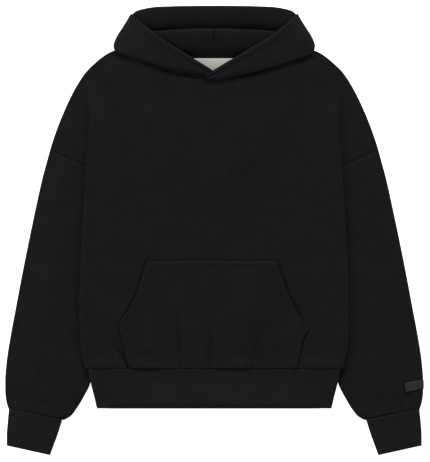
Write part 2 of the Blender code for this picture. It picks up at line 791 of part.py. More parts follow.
def main():
    for thing in list(bpy.data.objects):
        bpy.data.objects.remove(thing)
    wall("front", front_rows(), FLEECE, FLEECE_FINISH, mirrored=True)
    wall("back", back_rows(), FLEECE, FLEECE_FINISH, mirrored=True)
    for name, side in (("left", 1.0), ("right", -1.0)):
        sleeve = [tube_ring(ring, side, FLEECE, 4) for ring in SLEEVE_RINGS]
        wall("sleeve_" + name, sleeve, FLEECE, FLEECE_FINISH, ring=True)
        cuff = [tube_ring(ring, side, RIB, 3) for ring in CUFF_RINGS]
        wall("cuff_" + name, cuff, RIB, RIB_FINISH, ring=True)
    band = [band_ring(row.y) for row in HEM_BAND]
    wall("hem_band", band, RIB, RIB_FINISH, ring=True)
    hood_half("hood_left", 1.0, LEFT_LOBE)
    hood_half("hood_right", -1.0, RIGHT_LOBE)
    wall("pocket", pocket_rows(), FLEECE, FLEECE_FINISH)
    wall("neck_label", label_rows(), LABEL_CLOTH, LABEL_FINISH)
    wall("sleeve_patch", patch_rows(), PATCH_RUBBER, PATCH_FINISH)


main()
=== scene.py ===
"""Looks of a pullover hoodie laid flat: cloth shells, seams, stitches, label, patch and studio.

Lengths in the classes are millimetres, turned to metres when a mesh is made. +X is the wearer's
left, +Y points to the hood and +Z up from the table.
"""

import logging
import math
from collections.abc import Sequence
from dataclasses import dataclass, field
from enum import Enum
from functools import cached_property

import bmesh
import bpy
import numpy as np
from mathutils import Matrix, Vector, noise


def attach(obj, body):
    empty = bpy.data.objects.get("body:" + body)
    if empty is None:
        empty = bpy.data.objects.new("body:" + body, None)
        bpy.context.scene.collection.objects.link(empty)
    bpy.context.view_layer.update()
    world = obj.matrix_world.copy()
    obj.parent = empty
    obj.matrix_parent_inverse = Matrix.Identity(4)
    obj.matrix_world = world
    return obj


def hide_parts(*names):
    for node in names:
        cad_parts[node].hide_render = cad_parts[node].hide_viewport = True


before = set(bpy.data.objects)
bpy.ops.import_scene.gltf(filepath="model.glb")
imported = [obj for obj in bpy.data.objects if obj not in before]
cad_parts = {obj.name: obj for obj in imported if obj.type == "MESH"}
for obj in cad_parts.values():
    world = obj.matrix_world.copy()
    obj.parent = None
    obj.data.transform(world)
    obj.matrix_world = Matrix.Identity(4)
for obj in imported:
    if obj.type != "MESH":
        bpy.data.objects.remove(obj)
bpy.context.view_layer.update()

LOG = logging.getLogger("hoodie")

MM = 0.001
ROOT = "root"
CLOTH_UV = "cloth"  # the UV layer that holds each cloth's own run and width

# Cloth, and the heights that its layers reach on the table
FLEECE = 2.2
RIB = 2.6
LABEL_CLOTH = 0.6
PATCH_RUBBER = 0.9
SEAM_GAP = 0.3
AIR = 1.5  # left between two layers that are folded onto each other
LAYER = FLEECE + AIR
FOLD_RADIUS = LAYER / 2.0
TABLE_LAYER = FLEECE / 2.0
PANEL_LAYER = TABLE_LAYER + LAYER
RETURN_LAYER = PANEL_LAYER + LAYER
TOP_LAYER = RETURN_LAYER + LAYER
ARM_LOFT = 3.6  # how far the upper layer rises over the arm at the armhole
ARC_STEPS = 6  # steps round the half circle at a fold

Value = float | np.ndarray  # a number, or a row of numbers that are worked out together
Pair = tuple[float, float]
Point = tuple[float, float, float]


def smooth(share: float) -> float:
    """A soft step from 0 to 1 as the share goes from 0 to 1."""
    share = min(max(share, 0.0), 1.0)
    return share * share * (3.0 - 2.0 * share)


def mix(low: float, high: float, share: float) -> float:
    """The value at a share of the way from low to high."""
    return low + (high - low) * share


def bell(distance: float, width: float) -> float:
    """1 at no distance, falling softly to nothing at about two widths."""
    return math.exp(-((distance / width) ** 2))


def levels(stops: Sequence[float], pitch: float) -> list[float]:
    """Places from the first stop to the last one.

    Args:
        stops: places that are always passed, in order.
        pitch: the furthest that two places may be apart.

    Returns:
        The stops and the places between them.
    """
    places = [stops[0]]
    for start, end in zip(stops, stops[1:]):
        count = max(1, math.ceil(abs(end - start) / pitch))
        places += [mix(start, end, step / count) for step in range(1, count + 1)]
    return places


def cubic(low: Value, high: Value, rise: Value, last_rise: Value, share: float) -> Value:
    """A cubic from one value to the next.

    Args:
        low: the value that it starts at.
        high: the value that it ends at.
        rise: its slope at the start, times the length of the span.
        last_rise: its slope at the end, times the length of the span.
        share: how far along the span the place is, 0 to 1.

    Returns:
        The value at that place.
    """
    rest = 1.0 - share
    return (
        low * (1.0 + 2.0 * share) * rest**2
        + high * share * share * (3.0 - 2.0 * share)
        + rise * share * rest**2
        - last_rise * share * share * rest
    )


def through(points: np.ndarray, steps: Sequence[int], closed: bool = False) -> np.ndarray:
    """A smooth line through points, which never swings past them.

    Args:
        points: a row of values for each point, in order.
        steps: how many steps each span between two points takes.
        closed: whether the line comes back to its first point.

    Returns:
        A row of values for each step, and for the last point of an open line.
    """
    count = len(points)
    ring = np.vstack([points[-2:], points, points[:3]]) if closed else points
    first = 2 if closed else 0
    moves = np.diff(ring, axis=0)
    spans = np.maximum(np.linalg.norm(moves, axis=1), 1e-9)
    rates = moves / spans[:, None]
    before, after = rates[:-1], rates[1:]
    total = np.where(np.abs(before + after) < 1e-12, 1.0, before + after)
    inner = np.where(before * after > 0.0, 2.0 * before * after / total, 0.0)
    slopes = np.vstack([rates[:1], inner, rates[-1:]])
    found = []
    for place in range(count if closed else count - 1):
        low = first + place
        rise, last_rise = slopes[low] * spans[low], slopes[low + 1] * spans[low]
        for step in range(steps[place]):
            share = step / steps[place]
            found.append(cubic(ring[low], ring[low + 1], rise, last_rise, share))
    if not closed:
        found.append(points[-1])
    return np.array(found)


@dataclass(frozen=True)
class Curve:
    """A smooth line through a short table of (place, value) rows."""

    rows: tuple[Pair, ...]

    @cached_property
    def table(self) -> tuple[list[float], list[float], list[float]]:
        """The table made ready.

        Returns:
            Places, values and slopes, in order of place.
        """
        rows = sorted(self.rows)
        places = [row[0] for row in rows]
        values = [row[1] for row in rows]
        steps = [(d - b) / (c - a) for (a, b), (c, d) in zip(rows, rows[1:])]
        slopes = [steps[0]]
        for low, high in zip(steps, steps[1:]):
            slopes.append(2.0 * low * high / (low + high) if low * high > 0.0 else 0.0)
        return places, values, slopes + [steps[-1]]

    def __call__(self, place: float) -> float:
        """Reads the curve.

        Args:
            place: where, which is held at the table's ends past them.

        Returns:
            The value there.
        """
        places, values, slopes = self.table
        place = min(max(place, places[0]), places[-1])
        low = next(i for i in range(len(places) - 1) if place <= places[i + 1])
        span = places[low + 1] - places[low]
        rise, last_rise = slopes[low] * span, slopes[low + 1] * span
        share = (place - places[low]) / span
        return cubic(values[low], values[low + 1], rise, last_rise, share)


@dataclass(frozen=True)
class Fold:
    """A soft trough in the cloth, or a ridge if its height is above zero.

    It runs from (x, y) to (to_x, to_y). lead is the share of its length over which it sets in,
    and it fades over the last part, fade. A trough pushes up a low ridge on each side.
    """

    x: float
    y: float
    to_x: float
    to_y: float
    width: float
    height: float
    lead: float = 0.35
    fade: float = 0.6
    overrun: float = 0.05  # share of its length that it goes on past both ends
    ridge_place: float = 2.1  # in widths, from the fold's middle
    ridge_share: float = 0.14

    def at(self, x: float, y: float) -> float:
        """Height that this fold adds at a point.

        Args:
            x: the point's x.
            y: the point's y.

        Returns:
            The height, below zero in a trough.
        """
        run_x, run_y = self.to_x - self.x, self.to_y - self.y
        length = math.hypot(run_x, run_y)
        along = ((x - self.x) * run_x + (y - self.y) * run_y) / length**2
        if not -0.2 < along < 1.2:
            return 0.0
        across = ((x - self.x) * run_y - (y - self.y) * run_x) / length
        if abs(across) > 4.0 * self.width:
            return 0.0
        sets_in = smooth((along + self.overrun) / self.lead) if self.lead > 0.0 else 1.0
        strength = sets_in * smooth((1.0 + self.overrun - along) / self.fade)
        sides = bell(across - self.ridge_place * self.width, self.width)
        sides += bell(across + self.ridge_place * self.width, self.width)
        return self.height * strength * (bell(across, self.width) - self.ridge_share * sides)


@dataclass(frozen=True)
class Wave:
    """Smooth random rise and fall, with its height and its length along X and Y."""

    height: float
    length_x: float
    length_y: float

    def at(self, x: float, y: float, seed: float) -> float:
        """Height at a point; each seed gives another wave."""
        return self.height * noise.noise(Vector((x / self.length_x, y / self.length_y, seed)))


WIDE_WAVE = Wave(0.2, 70.0, 190.0)
NARROW_WAVE = Wave(0.14, 30.0, 60.0)


def unevenness(x: float, y: float, seed: float) -> float:
    """The rise and fall of cloth smoothed out by hand, a third of a millimetre each way."""
    return WIDE_WAVE.at(x, y, seed) + NARROW_WAVE.at(x, y, seed + 7.3)


@dataclass(frozen=True)
class Swell:
    """A soft ridge beside a line, or a trough if its height is below zero.

    place is its distance from the line.
    """

    height: float
    place: float
    width: float

    def at(self, distance: float) -> float:
        """Height at a distance from the line."""
        return self.height * bell(distance - self.place, self.width)


@dataclass(frozen=True)
class SeamForm:
    """How cloth lies beside a seam, by the distance from it."""

    puff: Swell = Swell(0.8, 5.0, 3.4)
    dip: Swell = Swell(-1.2, 0.0, 1.6)
    rib_puff: Swell = Swell(2.3, 3.0, 12.0)
    rib_dip: Swell = Swell(-0.2, 0.0, 1.4)
    hold: Swell = Swell(1.1, 0.0, 9.0)
    pucker: Wave = Wave(1.1, 9.0, 60.0)
    pucker_start: float = 3.0
    pucker_fade: float = 16.0

    def roll(self, distance: float) -> float:
        """Cloth that is pulled down into a seam, and puffed up just before it."""
        return self.puff.at(distance) + self.dip.at(distance)

    def over_rib(self, distance: float) -> float:
        """Fleece beside a rib seam: the seam's thickness puffs it up."""
        return self.rib_puff.at(distance) + self.rib_dip.at(distance)

    def on_rib(self, distance: float) -> float:
        """Rib beside a fleece seam: the seam holds it up, and it falls to its own level."""
        return self.hold.at(distance)

    def gathers(self, along: float, distance: float, seed: float) -> float:
        """Small puckers where a wider piece is eased into a seam."""
        ripple = self.pucker.at(along, distance, seed) * math.exp(-distance / self.pucker_fade)
        return ripple * smooth(distance / self.pucker_start)


SEAM = SeamForm()


def linear(hex_colour: str) -> tuple[float, float, float, float]:
    """Turns an sRGB colour to linear.

    Args:
        hex_colour: the colour as a number sign and six hex digits.

    Returns:
        Linear red, green and blue, and an alpha of 1.
    """
    channels = [int(hex_colour[i : i + 2], 16) / 255.0 for i in (1, 3, 5)]
    red, green, blue = (
        c / 12.92 if c <= 0.04045 else ((c + 0.055) / 1.055) ** 2.4 for c in channels
    )
    return red, green, blue, 1.0


def add_node(
    tree: bpy.types.NodeTree,
    kind: str,
    settings: dict[str | int, object] | None = None,
    links: dict[str | int, bpy.types.NodeSocket] | None = None,
) -> bpy.types.Node:
    """Adds a node to a tree.

    Args:
        tree: the node tree.
        kind: the node's type name without its ShaderNode start.
        settings: values by property name, or by input name or number.
        links: output sockets by the input name or number that each one feeds.

    Returns:
        The node.
    """
    node = tree.nodes.new("ShaderNode" + kind)
    for key, value in (settings or {}).items():
        if isinstance(key, str) and hasattr(node, key):
            setattr(node, key, value)
        else:
            node.inputs[key].default_value = value
    for key, socket in (links or {}).items():
        tree.links.new(socket, node.inputs[key])
    return node


class Weave(Enum):
    """How the surface of a cloth is made."""

    JERSEY = "jersey"
    RIB = "rib"
    SATIN = "satin"
    GRAIN = "grain"


@dataclass(frozen=True)
class Finish:
    """A surface: its colour, how it is made, and how light comes off it.

    slot is the part's own name for it; nothing here reads it.

    pitch is the width of a wale, a rib or a grain, relief is how deep it goes, and tuft and
    patch are the sizes of its fuzz and of the places where it is worn paler.
    """

    name: str
    slot: str
    colour: str
    worn_colour: str
    weave: Weave
    pitch: float
    relief: float
    roughness: float
    specular: float = 0.12
    sheen: float = 0.0
    ior: float = 1.5
    tuft: float = 10.0 / 9.0
    patch: float = 1000.0 / 26.0

    def pattern(self, tree: bpy.types.NodeTree) -> bpy.types.NodeSocket:
        """Height of the knit or grain, 0 to 1, on the cloth's own run and width.

        Args:
            tree: the material's node tree.

        Returns:
            The socket that gives the height.
        """
        place = add_node(tree, "UVMap", {"uv_map": CLOTH_UV}).outputs["UV"]
        pitch = self.pitch * MM
        if self.weave is Weave.GRAIN:
            grain = {"Scale": 1.0 / pitch, "Detail": 2.0}
            return add_node(tree, "TexNoise", grain, {0: place}).outputs[0]
        slope, loop_share = (0.25, 0.12) if self.weave is Weave.RIB else (1.1, 0.4)
        parts = add_node(tree, "SeparateXYZ", None, {0: place})
        half = pitch / 2.0
        leg = add_node(
            tree, "Math", {"operation": "PINGPONG", 1: half}, {0: parts.outputs["X"]}
        ).outputs[0]
        round_leg = add_node(
            tree, "Math", {"operation": "MULTIPLY", 1: math.pi / half}, {0: leg}
        ).outputs[0]
        ridge = add_node(tree, "Math", {"operation": "SINE"}, {0: round_leg}).outputs[0]
        slanted = add_node(
            tree,
            "Math",
            {"operation": "MULTIPLY_ADD", 1: slope},
            {0: leg, 2: parts.outputs["Y"]},
        ).outputs[0]
        course = 2.0 * math.pi / (0.8 * pitch)  # a loop is 0.8 times as high as it is wide
        turn = add_node(tree, "Math", {"operation": "MULTIPLY", 1: course}, {0: slanted}).outputs[0]
        loop = add_node(tree, "Math", {"operation": "SINE"}, {0: turn}).outputs[0]
        loops = add_node(
            tree,
            "Math",
            {"operation": "MULTIPLY_ADD", 1: loop_share, 2: 1.0 - loop_share},
            {0: loop},
        ).outputs[0]
        return add_node(tree, "Math", {"operation": "MULTIPLY"}, {0: ridge, 1: loops}).outputs[0]

    def material(self) -> bpy.types.Material:
        """Builds the material once, and returns it each time that it is asked for.

        Returns:
            The material.
        """
        ready = bpy.data.materials.get(self.name)
        if ready:
            return ready
        material = bpy.data.materials.new(self.name)
        material.use_nodes = True
        tree = material.node_tree
        tree.nodes.clear()
        place = add_node(tree, "UVMap", {"uv_map": CLOTH_UV}).outputs["UV"]
        height = self.pattern(tree)
        tufts = {"Scale": 1.0 / (self.tuft * MM), "Detail": 3.0, "Roughness": 0.65}
        fuzz = add_node(tree, "TexNoise", tufts, {0: place}).outputs[0]
        patches = {"Scale": 1.0 / (self.patch * MM), "Detail": 4.0, "Roughness": 0.6}
        cloud = add_node(tree, "TexNoise", patches, {0: place}).outputs[0]
        worn = add_node(
            tree,
            "MapRange",
            {"From Min": 0.35, "From Max": 0.68, "To Min": 0.0, "To Max": 0.55},
            {0: cloud},
        ).outputs[0]
        lint = add_node(
            tree,
            "MapRange",
            {"From Min": 0.5, "From Max": 0.8, "To Min": 0.0, "To Max": 0.45},
            {0: fuzz},
        ).outputs[0]
        share = add_node(tree, "Math", {"operation": "ADD"}, {0: worn, 1: lint}).outputs[0]
        colour = add_node(
            tree,
            "Mix",
            {"data_type": "RGBA", 6: linear(self.colour), 7: linear(self.worn_colour)},
            {0: share},
        ).outputs[2]
        fuzz_share = {"operation": "MULTIPLY_ADD", 1: 0.45}
        rise = add_node(tree, "Math", fuzz_share, {0: fuzz, 2: height}).outputs[0]
        bump = add_node(
            tree, "Bump", {"Strength": 0.7, "Distance": self.relief * MM}, {"Height": rise}
        ).outputs[0]
        shader = add_node(
            tree,
            "BsdfPrincipled",
            {
                "Roughness": self.roughness,
                "Specular IOR Level": self.specular,
                "IOR": self.ior,
                "Sheen Weight": self.sheen,
                "Sheen Roughness": 0.45,
            },
            {"Base Color": colour, "Normal": bump},
        )
        out = add_node(tree, "OutputMaterial", None, {"Surface": shader.outputs[0]})
        out.is_active_output = True
        return material


# Cotton fleece with a jersey face: matte, so folds show only by soft shade. Its wales are 1 mm
# apart on the real cloth and are drawn at 2.2 mm, because finer ones would not show. Brushed
# tufts and paler worn places lie over them.
COTTON_FLEECE = Finish(
    "cotton_fleece", "fleece", "#131313", "#191919", Weave.JERSEY, 2.2, 0.16, 0.95, 0.06
)
# Cotton rib: the same yarn in upright ribs, which catch a little more light along their tops.
COTTON_RIB = Finish(
    "cotton_rib", "rib_knit", "#141414", "#1a1a1a", Weave.RIB, 3.4, 0.42, 0.93, 0.08
)
# Polyester satin label: smooth floats give a faint gloss. Drawn at 0.8 mm, twice the real thread.
SATIN_LABEL = Finish(
    "satin_label", "woven_label", "#aeaba5", "#b6b3ac", Weave.SATIN, 0.8, 0.05, 0.6, 0.35
)
# Moulded silicone patch: charcoal, with a soft even gloss over a fine spark-eroded grain.
SILICONE_PATCH = Finish(
    "silicone_patch", "patch_rubber", "#1f1f20", "#252526", Weave.GRAIN, 0.9, 0.04, 0.6, 0.2
)
# Spun polyester thread: black, a shade glossier than the cloth that it pulls into.
SPUN_THREAD = Finish(
    "spun_thread", "fleece", "#121212", "#161616", Weave.GRAIN, 0.4, 0.05, 0.65, 0.3
)


def cloth_mesh(
    name: str,
    node: str,
    grids: Sequence[np.ndarray],
    finish: Finish,
    closed: bool = False,
    caps: bool = False,
    thickness: float = 0.0,
) -> bpy.types.Object:
    """A piece from grids of points, with its own run and width as UVs in metres.

    Args:
        name: the piece's name.
        node: the plain solid that it takes the place of.
        grids: arrays of rows, columns and x, y, z in millimetres.
        finish: what it is made of.
        closed: whether each row comes back to its first point.
        caps: whether the first and the last row are closed off.
        thickness: the cloth's thickness, half of it on each side, or 0 for a solid form.

    Returns:
        The object, dressed, riding the garment and in place of its plain solid.
    """
    points, faces, places = [], [], []
    for grid in grids:
        rows, columns = grid.shape[:2]
        first = len(points)
        points += (grid.reshape(-1, 3) * MM).tolist()
        wrap = np.concatenate([grid, grid[:, :1]], axis=1) if closed else grid
        across = np.linalg.norm(np.diff(wrap, axis=1), axis=2) * MM
        across = np.concatenate([np.zeros((rows, 1)), np.cumsum(across, axis=1)], axis=1)
        down = np.linalg.norm(np.diff(grid, axis=0), axis=2) * MM
        down = np.concatenate([[0.0], np.cumsum(np.median(down, axis=1))])
        for row in range(rows - 1):
            for column in range(columns if closed else columns - 1):
                right = (column + 1) % columns
                corners = ((row, column), (row, right), (row + 1, right), (row + 1, column))
                faces.append([first + r * columns + c for r, c in corners])
                spots = ((row, column), (row, column + 1), (row + 1, column + 1), (row + 1, column))
                places += [(across[r, c], down[r]) for r, c in spots]
        if caps:
            for row in (0, rows - 1):
                faces.append([first + row * columns + c for c in range(columns)])
                places += [(across[row, c], down[row]) for c in range(columns)]
    mesh = bpy.data.meshes.new(name)
    mesh.from_pydata(points, [], faces)
    layer = mesh.uv_layers.new(name=CLOTH_UV)
    layer.data.foreach_set("uv", np.array(places, np.float32).ravel())
    build = bmesh.new()
    build.from_mesh(mesh)
    middle = [vertex for vertex in build.verts if abs(vertex.co.x) < 1e-7]
    if len(grids) > 1 and not closed:
        bmesh.ops.remove_doubles(build, verts=middle, dist=1e-6)
    bmesh.ops.recalc_face_normals(build, faces=build.faces)
    build.to_mesh(mesh)
    build.free()
    mesh.shade_smooth()
    mesh.materials.append(finish.material())
    piece = bpy.data.objects.new(name, mesh)
    bpy.context.scene.collection.objects.link(piece)
    if thickness > 0.0:
        shell = piece.modifiers.new("cloth", "SOLIDIFY")
        shell.thickness = thickness * MM
        shell.offset = 0.0
        shell.use_even_offset = False
    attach(piece, ROOT)
    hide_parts(node)
    return piece


@dataclass(frozen=True)
class LaidForm:
    """Outlines of the laid body and the heights that its layers reach."""

    shoulder: Curve = Curve(
        (
            (352.0, 131.0), (346.0, 168.0), (339.0, 195.0), (329.7, 210.7), (318.0, 225.0),
            (301.0, 242.3), (278.4, 258.0), (255.6, 270.5), (232.8, 281.3), (210.0, 291.0),
            (187.2, 299.7), (164.4, 307.4), (152.5, 311.0), (126.0, 318.2), (101.0, 325.0),
        )
    )
    body_edge: Curve = Curve(
        (
            (352.0, 238.0), (232.0, 237.0), (191.0, 237.5), (140.0, 240.8), (48.0, 247.0),
            (-46.0, 252.2), (-141.0, 255.2), (-190.0, 254.8), (-220.0, 253.2), (-243.0, 249.0),
            (-257.0, 245.6), (-263.2, 243.0),
        )
    )
    sleeve_inner: Curve = Curve(
        (
            (111.0, 220.0), (60.0, 221.0), (-60.0, 223.5), (-180.0, 227.5), (-235.0, 229.5),
            (-264.0, 231.5), (-288.0, 235.0), (-299.0, 240.4),
        )
    )
    front_neck: Curve = Curve(
        (
            (352.0, 123.0), (346.0, 121.0), (339.0, 119.0), (329.7, 116.0), (318.0, 109.6),
            (299.6, 85.0), (290.5, 48.0),
        )
    )
    back_neck: Curve = Curve(((352.0, 123.0), (346.0, 113.0), (339.0, 96.0), (331.5, 62.0)))
    neck_line: Curve = Curve(
        (
            (0.0, 287.2), (24.0, 288.0), (48.0, 290.5), (85.0, 299.6), (109.6, 318.0),
            (116.0, 329.7), (119.0, 339.0), (121.0, 346.0), (123.0, 352.0),
        )
    )
    hood_edge: Curve = Curve(
        (
            (0.0, 287.2), (40.0, 290.0), (78.0, 299.0), (97.0, 304.5), (118.0, 312.0),
            (134.0, 318.0), (152.0, 325.0), (188.0, 340.0),
        )
    )
    neck_top: float = 352.0
    front_neck_y: float = 287.2
    back_neck_y: float = 326.8
    crease_top: float = 268.0
    crease_full: float = 58.0
    armhole_out: Pair = (311.0, 152.5)
    armhole_in: Pair = (220.0, 111.0)
    full_tuck: float = 26.2
    hem_seam: float = -263.2
    ramp: float = 42.0  # the back's climb onto the sleeve
    short_ramp: float = 13.0  # the same climb at the underarm
    short_ramp_fade: float = 60.0
    ramp_end: float = 3.5  # how far before the sleeve's inner fold a climb is complete
    top_ramp: float = 112.0  # the front's longer climb
    shoulder_ramp: float = 84.0  # and the climb beside the armhole, up by the shoulder
    shoulder_ramp_top: float = 230.0
    shoulder_ramp_fade: float = 110.0
    crown: float = 3.2  # how far the middle of the front is puffed up
    crown_inset: float = 46.0
    crown_side_fade: float = 90.0
    crown_hem_fade: float = 70.0
    crown_top: float = 306.0
    crown_neck_fade: float = 110.0
    neck_rise: float = 3.6  # how far the turned-out hood holds the front up
    neck_rise_length: float = 56.0
    neck_rise_half_width: float = 176.0
    neck_rise_side_fade: float = 60.0
    bag_half_width: float = 168.0
    bag_length: float = 268.0
    bag_reach: float = 1.15  # where the lift ends, in half widths and lengths
    bag_fade: float = 0.4
    bag_thickness: float = 5.8
    bag_air: float = 0.7

    @property
    def bag_lift(self) -> float:
        """How far the hood's bag behind the back lifts the body."""
        return self.bag_thickness + self.bag_air

    def lift(self, x: float, y: float) -> float:
        """How far the hood's bag lifts the body at a point."""
        reach = math.hypot(x / self.bag_half_width, max(0.0, self.back_neck_y - y) / self.bag_length)
        return self.bag_lift * smooth((self.bag_reach - reach) / self.bag_fade)

    def climb(self, x: float, y: float) -> float:
        """0 where the body lies on the table and 1 where it lies on a sleeve."""
        reach = abs(x) - self.sleeve_inner(y) + self.ramp
        return smooth(reach / (self.ramp - self.ramp_end))

    def top_climb(self, x: float, y: float) -> float:
        """As climb, for the top layer, which bridges the hollow in a long slope."""
        reach = abs(x) - self.sleeve_inner(y) + self.top_ramp
        return smooth(reach / (self.top_ramp - self.ramp_end))

    def armhole_x(self, y: float) -> float:
        """The armhole seam, a straight line on the laid garment."""
        (out_x, out_y), (in_x, in_y) = self.armhole_out, self.armhole_in
        return mix(in_x, out_x, (y - in_y) / (out_y - in_y))

    def above_armhole(self, x: float, y: float) -> float:
        """Distance from the armhole seam.

        Args:
            x: the point's x, on either side.
            y: the point's y.

        Returns:
            The distance, above zero towards the neck.
        """
        (out_x, out_y), (in_x, in_y) = self.armhole_out, self.armhole_in
        run_x, run_y = out_x - in_x, out_y - in_y
        return ((y - in_y) * run_x - (abs(x) - in_x) * run_y) / math.hypot(run_x, run_y)

    def side_seam_x(self, y: float) -> float:
        """The side seam, hidden under the climb onto the sleeve."""
        drop = smooth((self.armhole_in[1] - y) / self.short_ramp_fade)
        return self.sleeve_inner(y) - mix(self.short_ramp, self.ramp, drop)

    def crease_turn(self, y: float) -> float:
        """Angle that the cloth turns through at each fold beside the armhole."""
        return math.pi * smooth((self.crease_top - y) / self.crease_full)

    def tuck_depth(self, y: float) -> float:
        """From the body's fold in to the fold under it."""
        share = max(0.0, (self.crease_top - y) / (self.crease_top - self.armhole_in[1]))
        return mix(2.0 * FOLD_RADIUS + 1.0, self.full_tuck, share)

    def fold_length(self, y: float) -> float:
        """Length of cloth in one of the crease's folds."""
        return max(FOLD_RADIUS * self.crease_turn(y), 3.0)

    def crease_path(self, x: float, z: float, y: float) -> "Strip":
        """Walks under the fold beside the armhole: a turn in, the tuck and a turn out.

        Args:
            x: where the fold starts.
            z: the height that it starts at.
            y: the level of the section.

        Returns:
            The strip, with its points.
        """
        turn, length = self.crease_turn(y), self.fold_length(y)
        strip = Strip(x, z)
        strip.bend(length, -turn, ARC_STEPS)
        turned_under = smooth((turn / math.pi - 0.85) / 0.15)
        tuck = self.tuck_depth(y) - 2.0 * FOLD_RADIUS
        strip.ahead(mix(0.4, tuck, turned_under), 5)
        strip.bend(length, turn, ARC_STEPS)
        if strip.z < z - 0.01:
            scale = 2.0 * LAYER * turn / math.pi / (z - strip.z)
            strip.points = [(px, z + (pz - z) * scale) for px, pz in strip.points]
            strip.z = strip.points[-1][1]
        return strip

    def top(self, x: float, y: float) -> float:
        """Middle of the front's thickness where it is the top layer, without small folds.

        Args:
            x: the point's x, on either side.
            y: the point's y.

        Returns:
            Its height over the table.
        """
        out = abs(x)
        to_side = smooth((self.body_edge(y) - self.crown_inset - out) / self.crown_side_fade)
        to_hem = smooth((y - self.hem_seam) / self.crown_hem_fade)
        to_neck = smooth((self.crown_top - y) / self.crown_neck_fade)
        height = PANEL_LAYER + self.lift(x, y) + self.crown * to_side * to_hem * to_neck
        held_up = self.neck_rise * smooth(1.0 - (self.hood_edge(out) - y) / self.neck_rise_length)
        height += held_up * smooth((self.neck_rise_half_width - out) / self.neck_rise_side_fade)
        if y > self.armhole_in[1]:
            inner = self.body_edge(y) - self.tuck_depth(y)
            from_top = smooth((self.shoulder_ramp_top - y) / self.shoulder_ramp_fade)
            width = mix(self.shoulder_ramp, self.top_ramp, from_top)
            drop = -self.crease_path(0.0, 0.0, y).z
            return height + drop * smooth((out - inner + width) / (width - self.ramp_end))
        return height + (TOP_LAYER - PANEL_LAYER) * self.top_climb(x, y)


class Strip:
    """Walks along one section of cloth, in x and z, and keeps the points that it passes."""

    def __init__(self, x: float, z: float) -> None:
        """Starts at a point, heading outwards.

        Args:
            x: the point's x.
            z: the point's height.
        """
        self.x = x
        self.z = z
        self.heading = 0.0
        self.points: list[Pair] = [(x, z)]

    def ahead(self, length: float, steps: int) -> None:
        """Goes straight on.

        Args:
            length: how far.
            steps: how many points it leaves on the way.
        """
        for _ in range(steps):
            self.x += length / steps * math.cos(self.heading)
            self.z += length / steps * math.sin(self.heading)
            self.points.append((self.x, self.z))

    def bend(self, length: float, angle: float, steps: int) -> None:
        """Turns on an arc.

        Args:
            length: the arc's length.
            angle: the angle that it turns through, upwards above zero.
            steps: how many points it leaves on the way.
        """
        half = angle / steps / 2.0
        chord = length / steps * (math.sin(half) / half if abs(half) > 1e-6 else 1.0)
        for _ in range(steps):
            self.heading += half
            self.x += chord * math.cos(self.heading)
            self.z += chord * math.sin(self.heading)
            self.heading += half
            self.points.append((self.x, self.z))


@dataclass
class StitchLines:
    """Rows of lockstitch: short threads that dip into the cloth at both ends."""

    name: str
    length: float = 2.7
    pitch: float = 3.5
    radius: float = 0.34
    corners: int = 6
    body_share: float = 0.28  # share of the length from the middle to where the taper starts
    body_thick: float = 0.85
    sink: float = 0.25  # in radii, how far the ends dip and the middle stands out
    points: list[Point] = field(default_factory=list)
    faces: list[list[int]] = field(default_factory=list)

    def add(self, path: np.ndarray, ups: np.ndarray) -> None:
        """Sews along a path.

        Args:
            path: points on the cloth's surface, in order.
            ups: the surface's normal at each point.
        """
        spans = np.linalg.norm(np.diff(path, axis=0), axis=1)
        places = np.concatenate([[0.0], np.cumsum(spans)])
        count = int(places[-1] // self.pitch)

        def read(rows: np.ndarray, place: float) -> np.ndarray:
            """The rows' value at a distance along the path."""
            return np.array([np.interp(place, places, rows[:, axis]) for axis in range(3)])

        for stitch in range(count):
            centre = (stitch + 0.5) * places[-1] / count
            start = read(path, centre - self.length / 2.0)
            end = read(path, centre + self.length / 2.0)
            up = read(ups, centre)
            self._one(read(path, centre), start, end, up / np.linalg.norm(up))

    def _one(self, spot: np.ndarray, start: np.ndarray, end: np.ndarray, up: np.ndarray) -> None:
        """One stitch: a bead drawn out to a point at both ends.

        Args:
            spot: its middle.
            start: where it comes out of the cloth.
            end: where it goes back in.
            up: the cloth's normal.
        """
        side = np.cross(end - start, up)
        side /= np.linalg.norm(side)
        first, sides = len(self.points), self.corners
        sink = self.sink * self.radius
        self.points.append(tuple(start - up * sink))
        for share in (-self.body_share, self.body_share):
            for corner in range(sides):
                angle = 2.0 * math.pi * corner / sides
                out = side * math.cos(angle) + up * math.sin(angle)
                place = spot + (end - start) * share + up * sink
                self.points.append(tuple(place + out * self.radius * self.body_thick))
        self.points.append(tuple(end - up * sink))
        last = len(self.points) - 1
        for corner in range(sides):
            low, after = first + 1 + corner, first + 1 + (corner + 1) % sides
            self.faces.append([first, after, low])
            self.faces.append([low, after, after + sides, low + sides])
            self.faces.append([last, low + sides, after + sides])

    def build(self) -> bpy.types.Object:
        """Makes one mesh of all the rows.

        Returns:
            The object, riding the garment.
        """
        mesh = bpy.data.meshes.new(self.name)
        mesh.from_pydata([tuple(c * MM for c in point) for point in self.points], [], self.faces)
        layer = mesh.uv_layers.new(name=CLOTH_UV)
        corners = np.array([self.points[i][:2] for face in self.faces for i in face]) * MM
        layer.data.foreach_set("uv", corners.astype(np.float32).ravel())
        mesh.shade_smooth()
        mesh.materials.append(SPUN_THREAD.material())
        piece = bpy.data.objects.new(self.name, mesh)
        bpy.context.scene.collection.objects.link(piece)
        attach(piece, ROOT)
        return piece


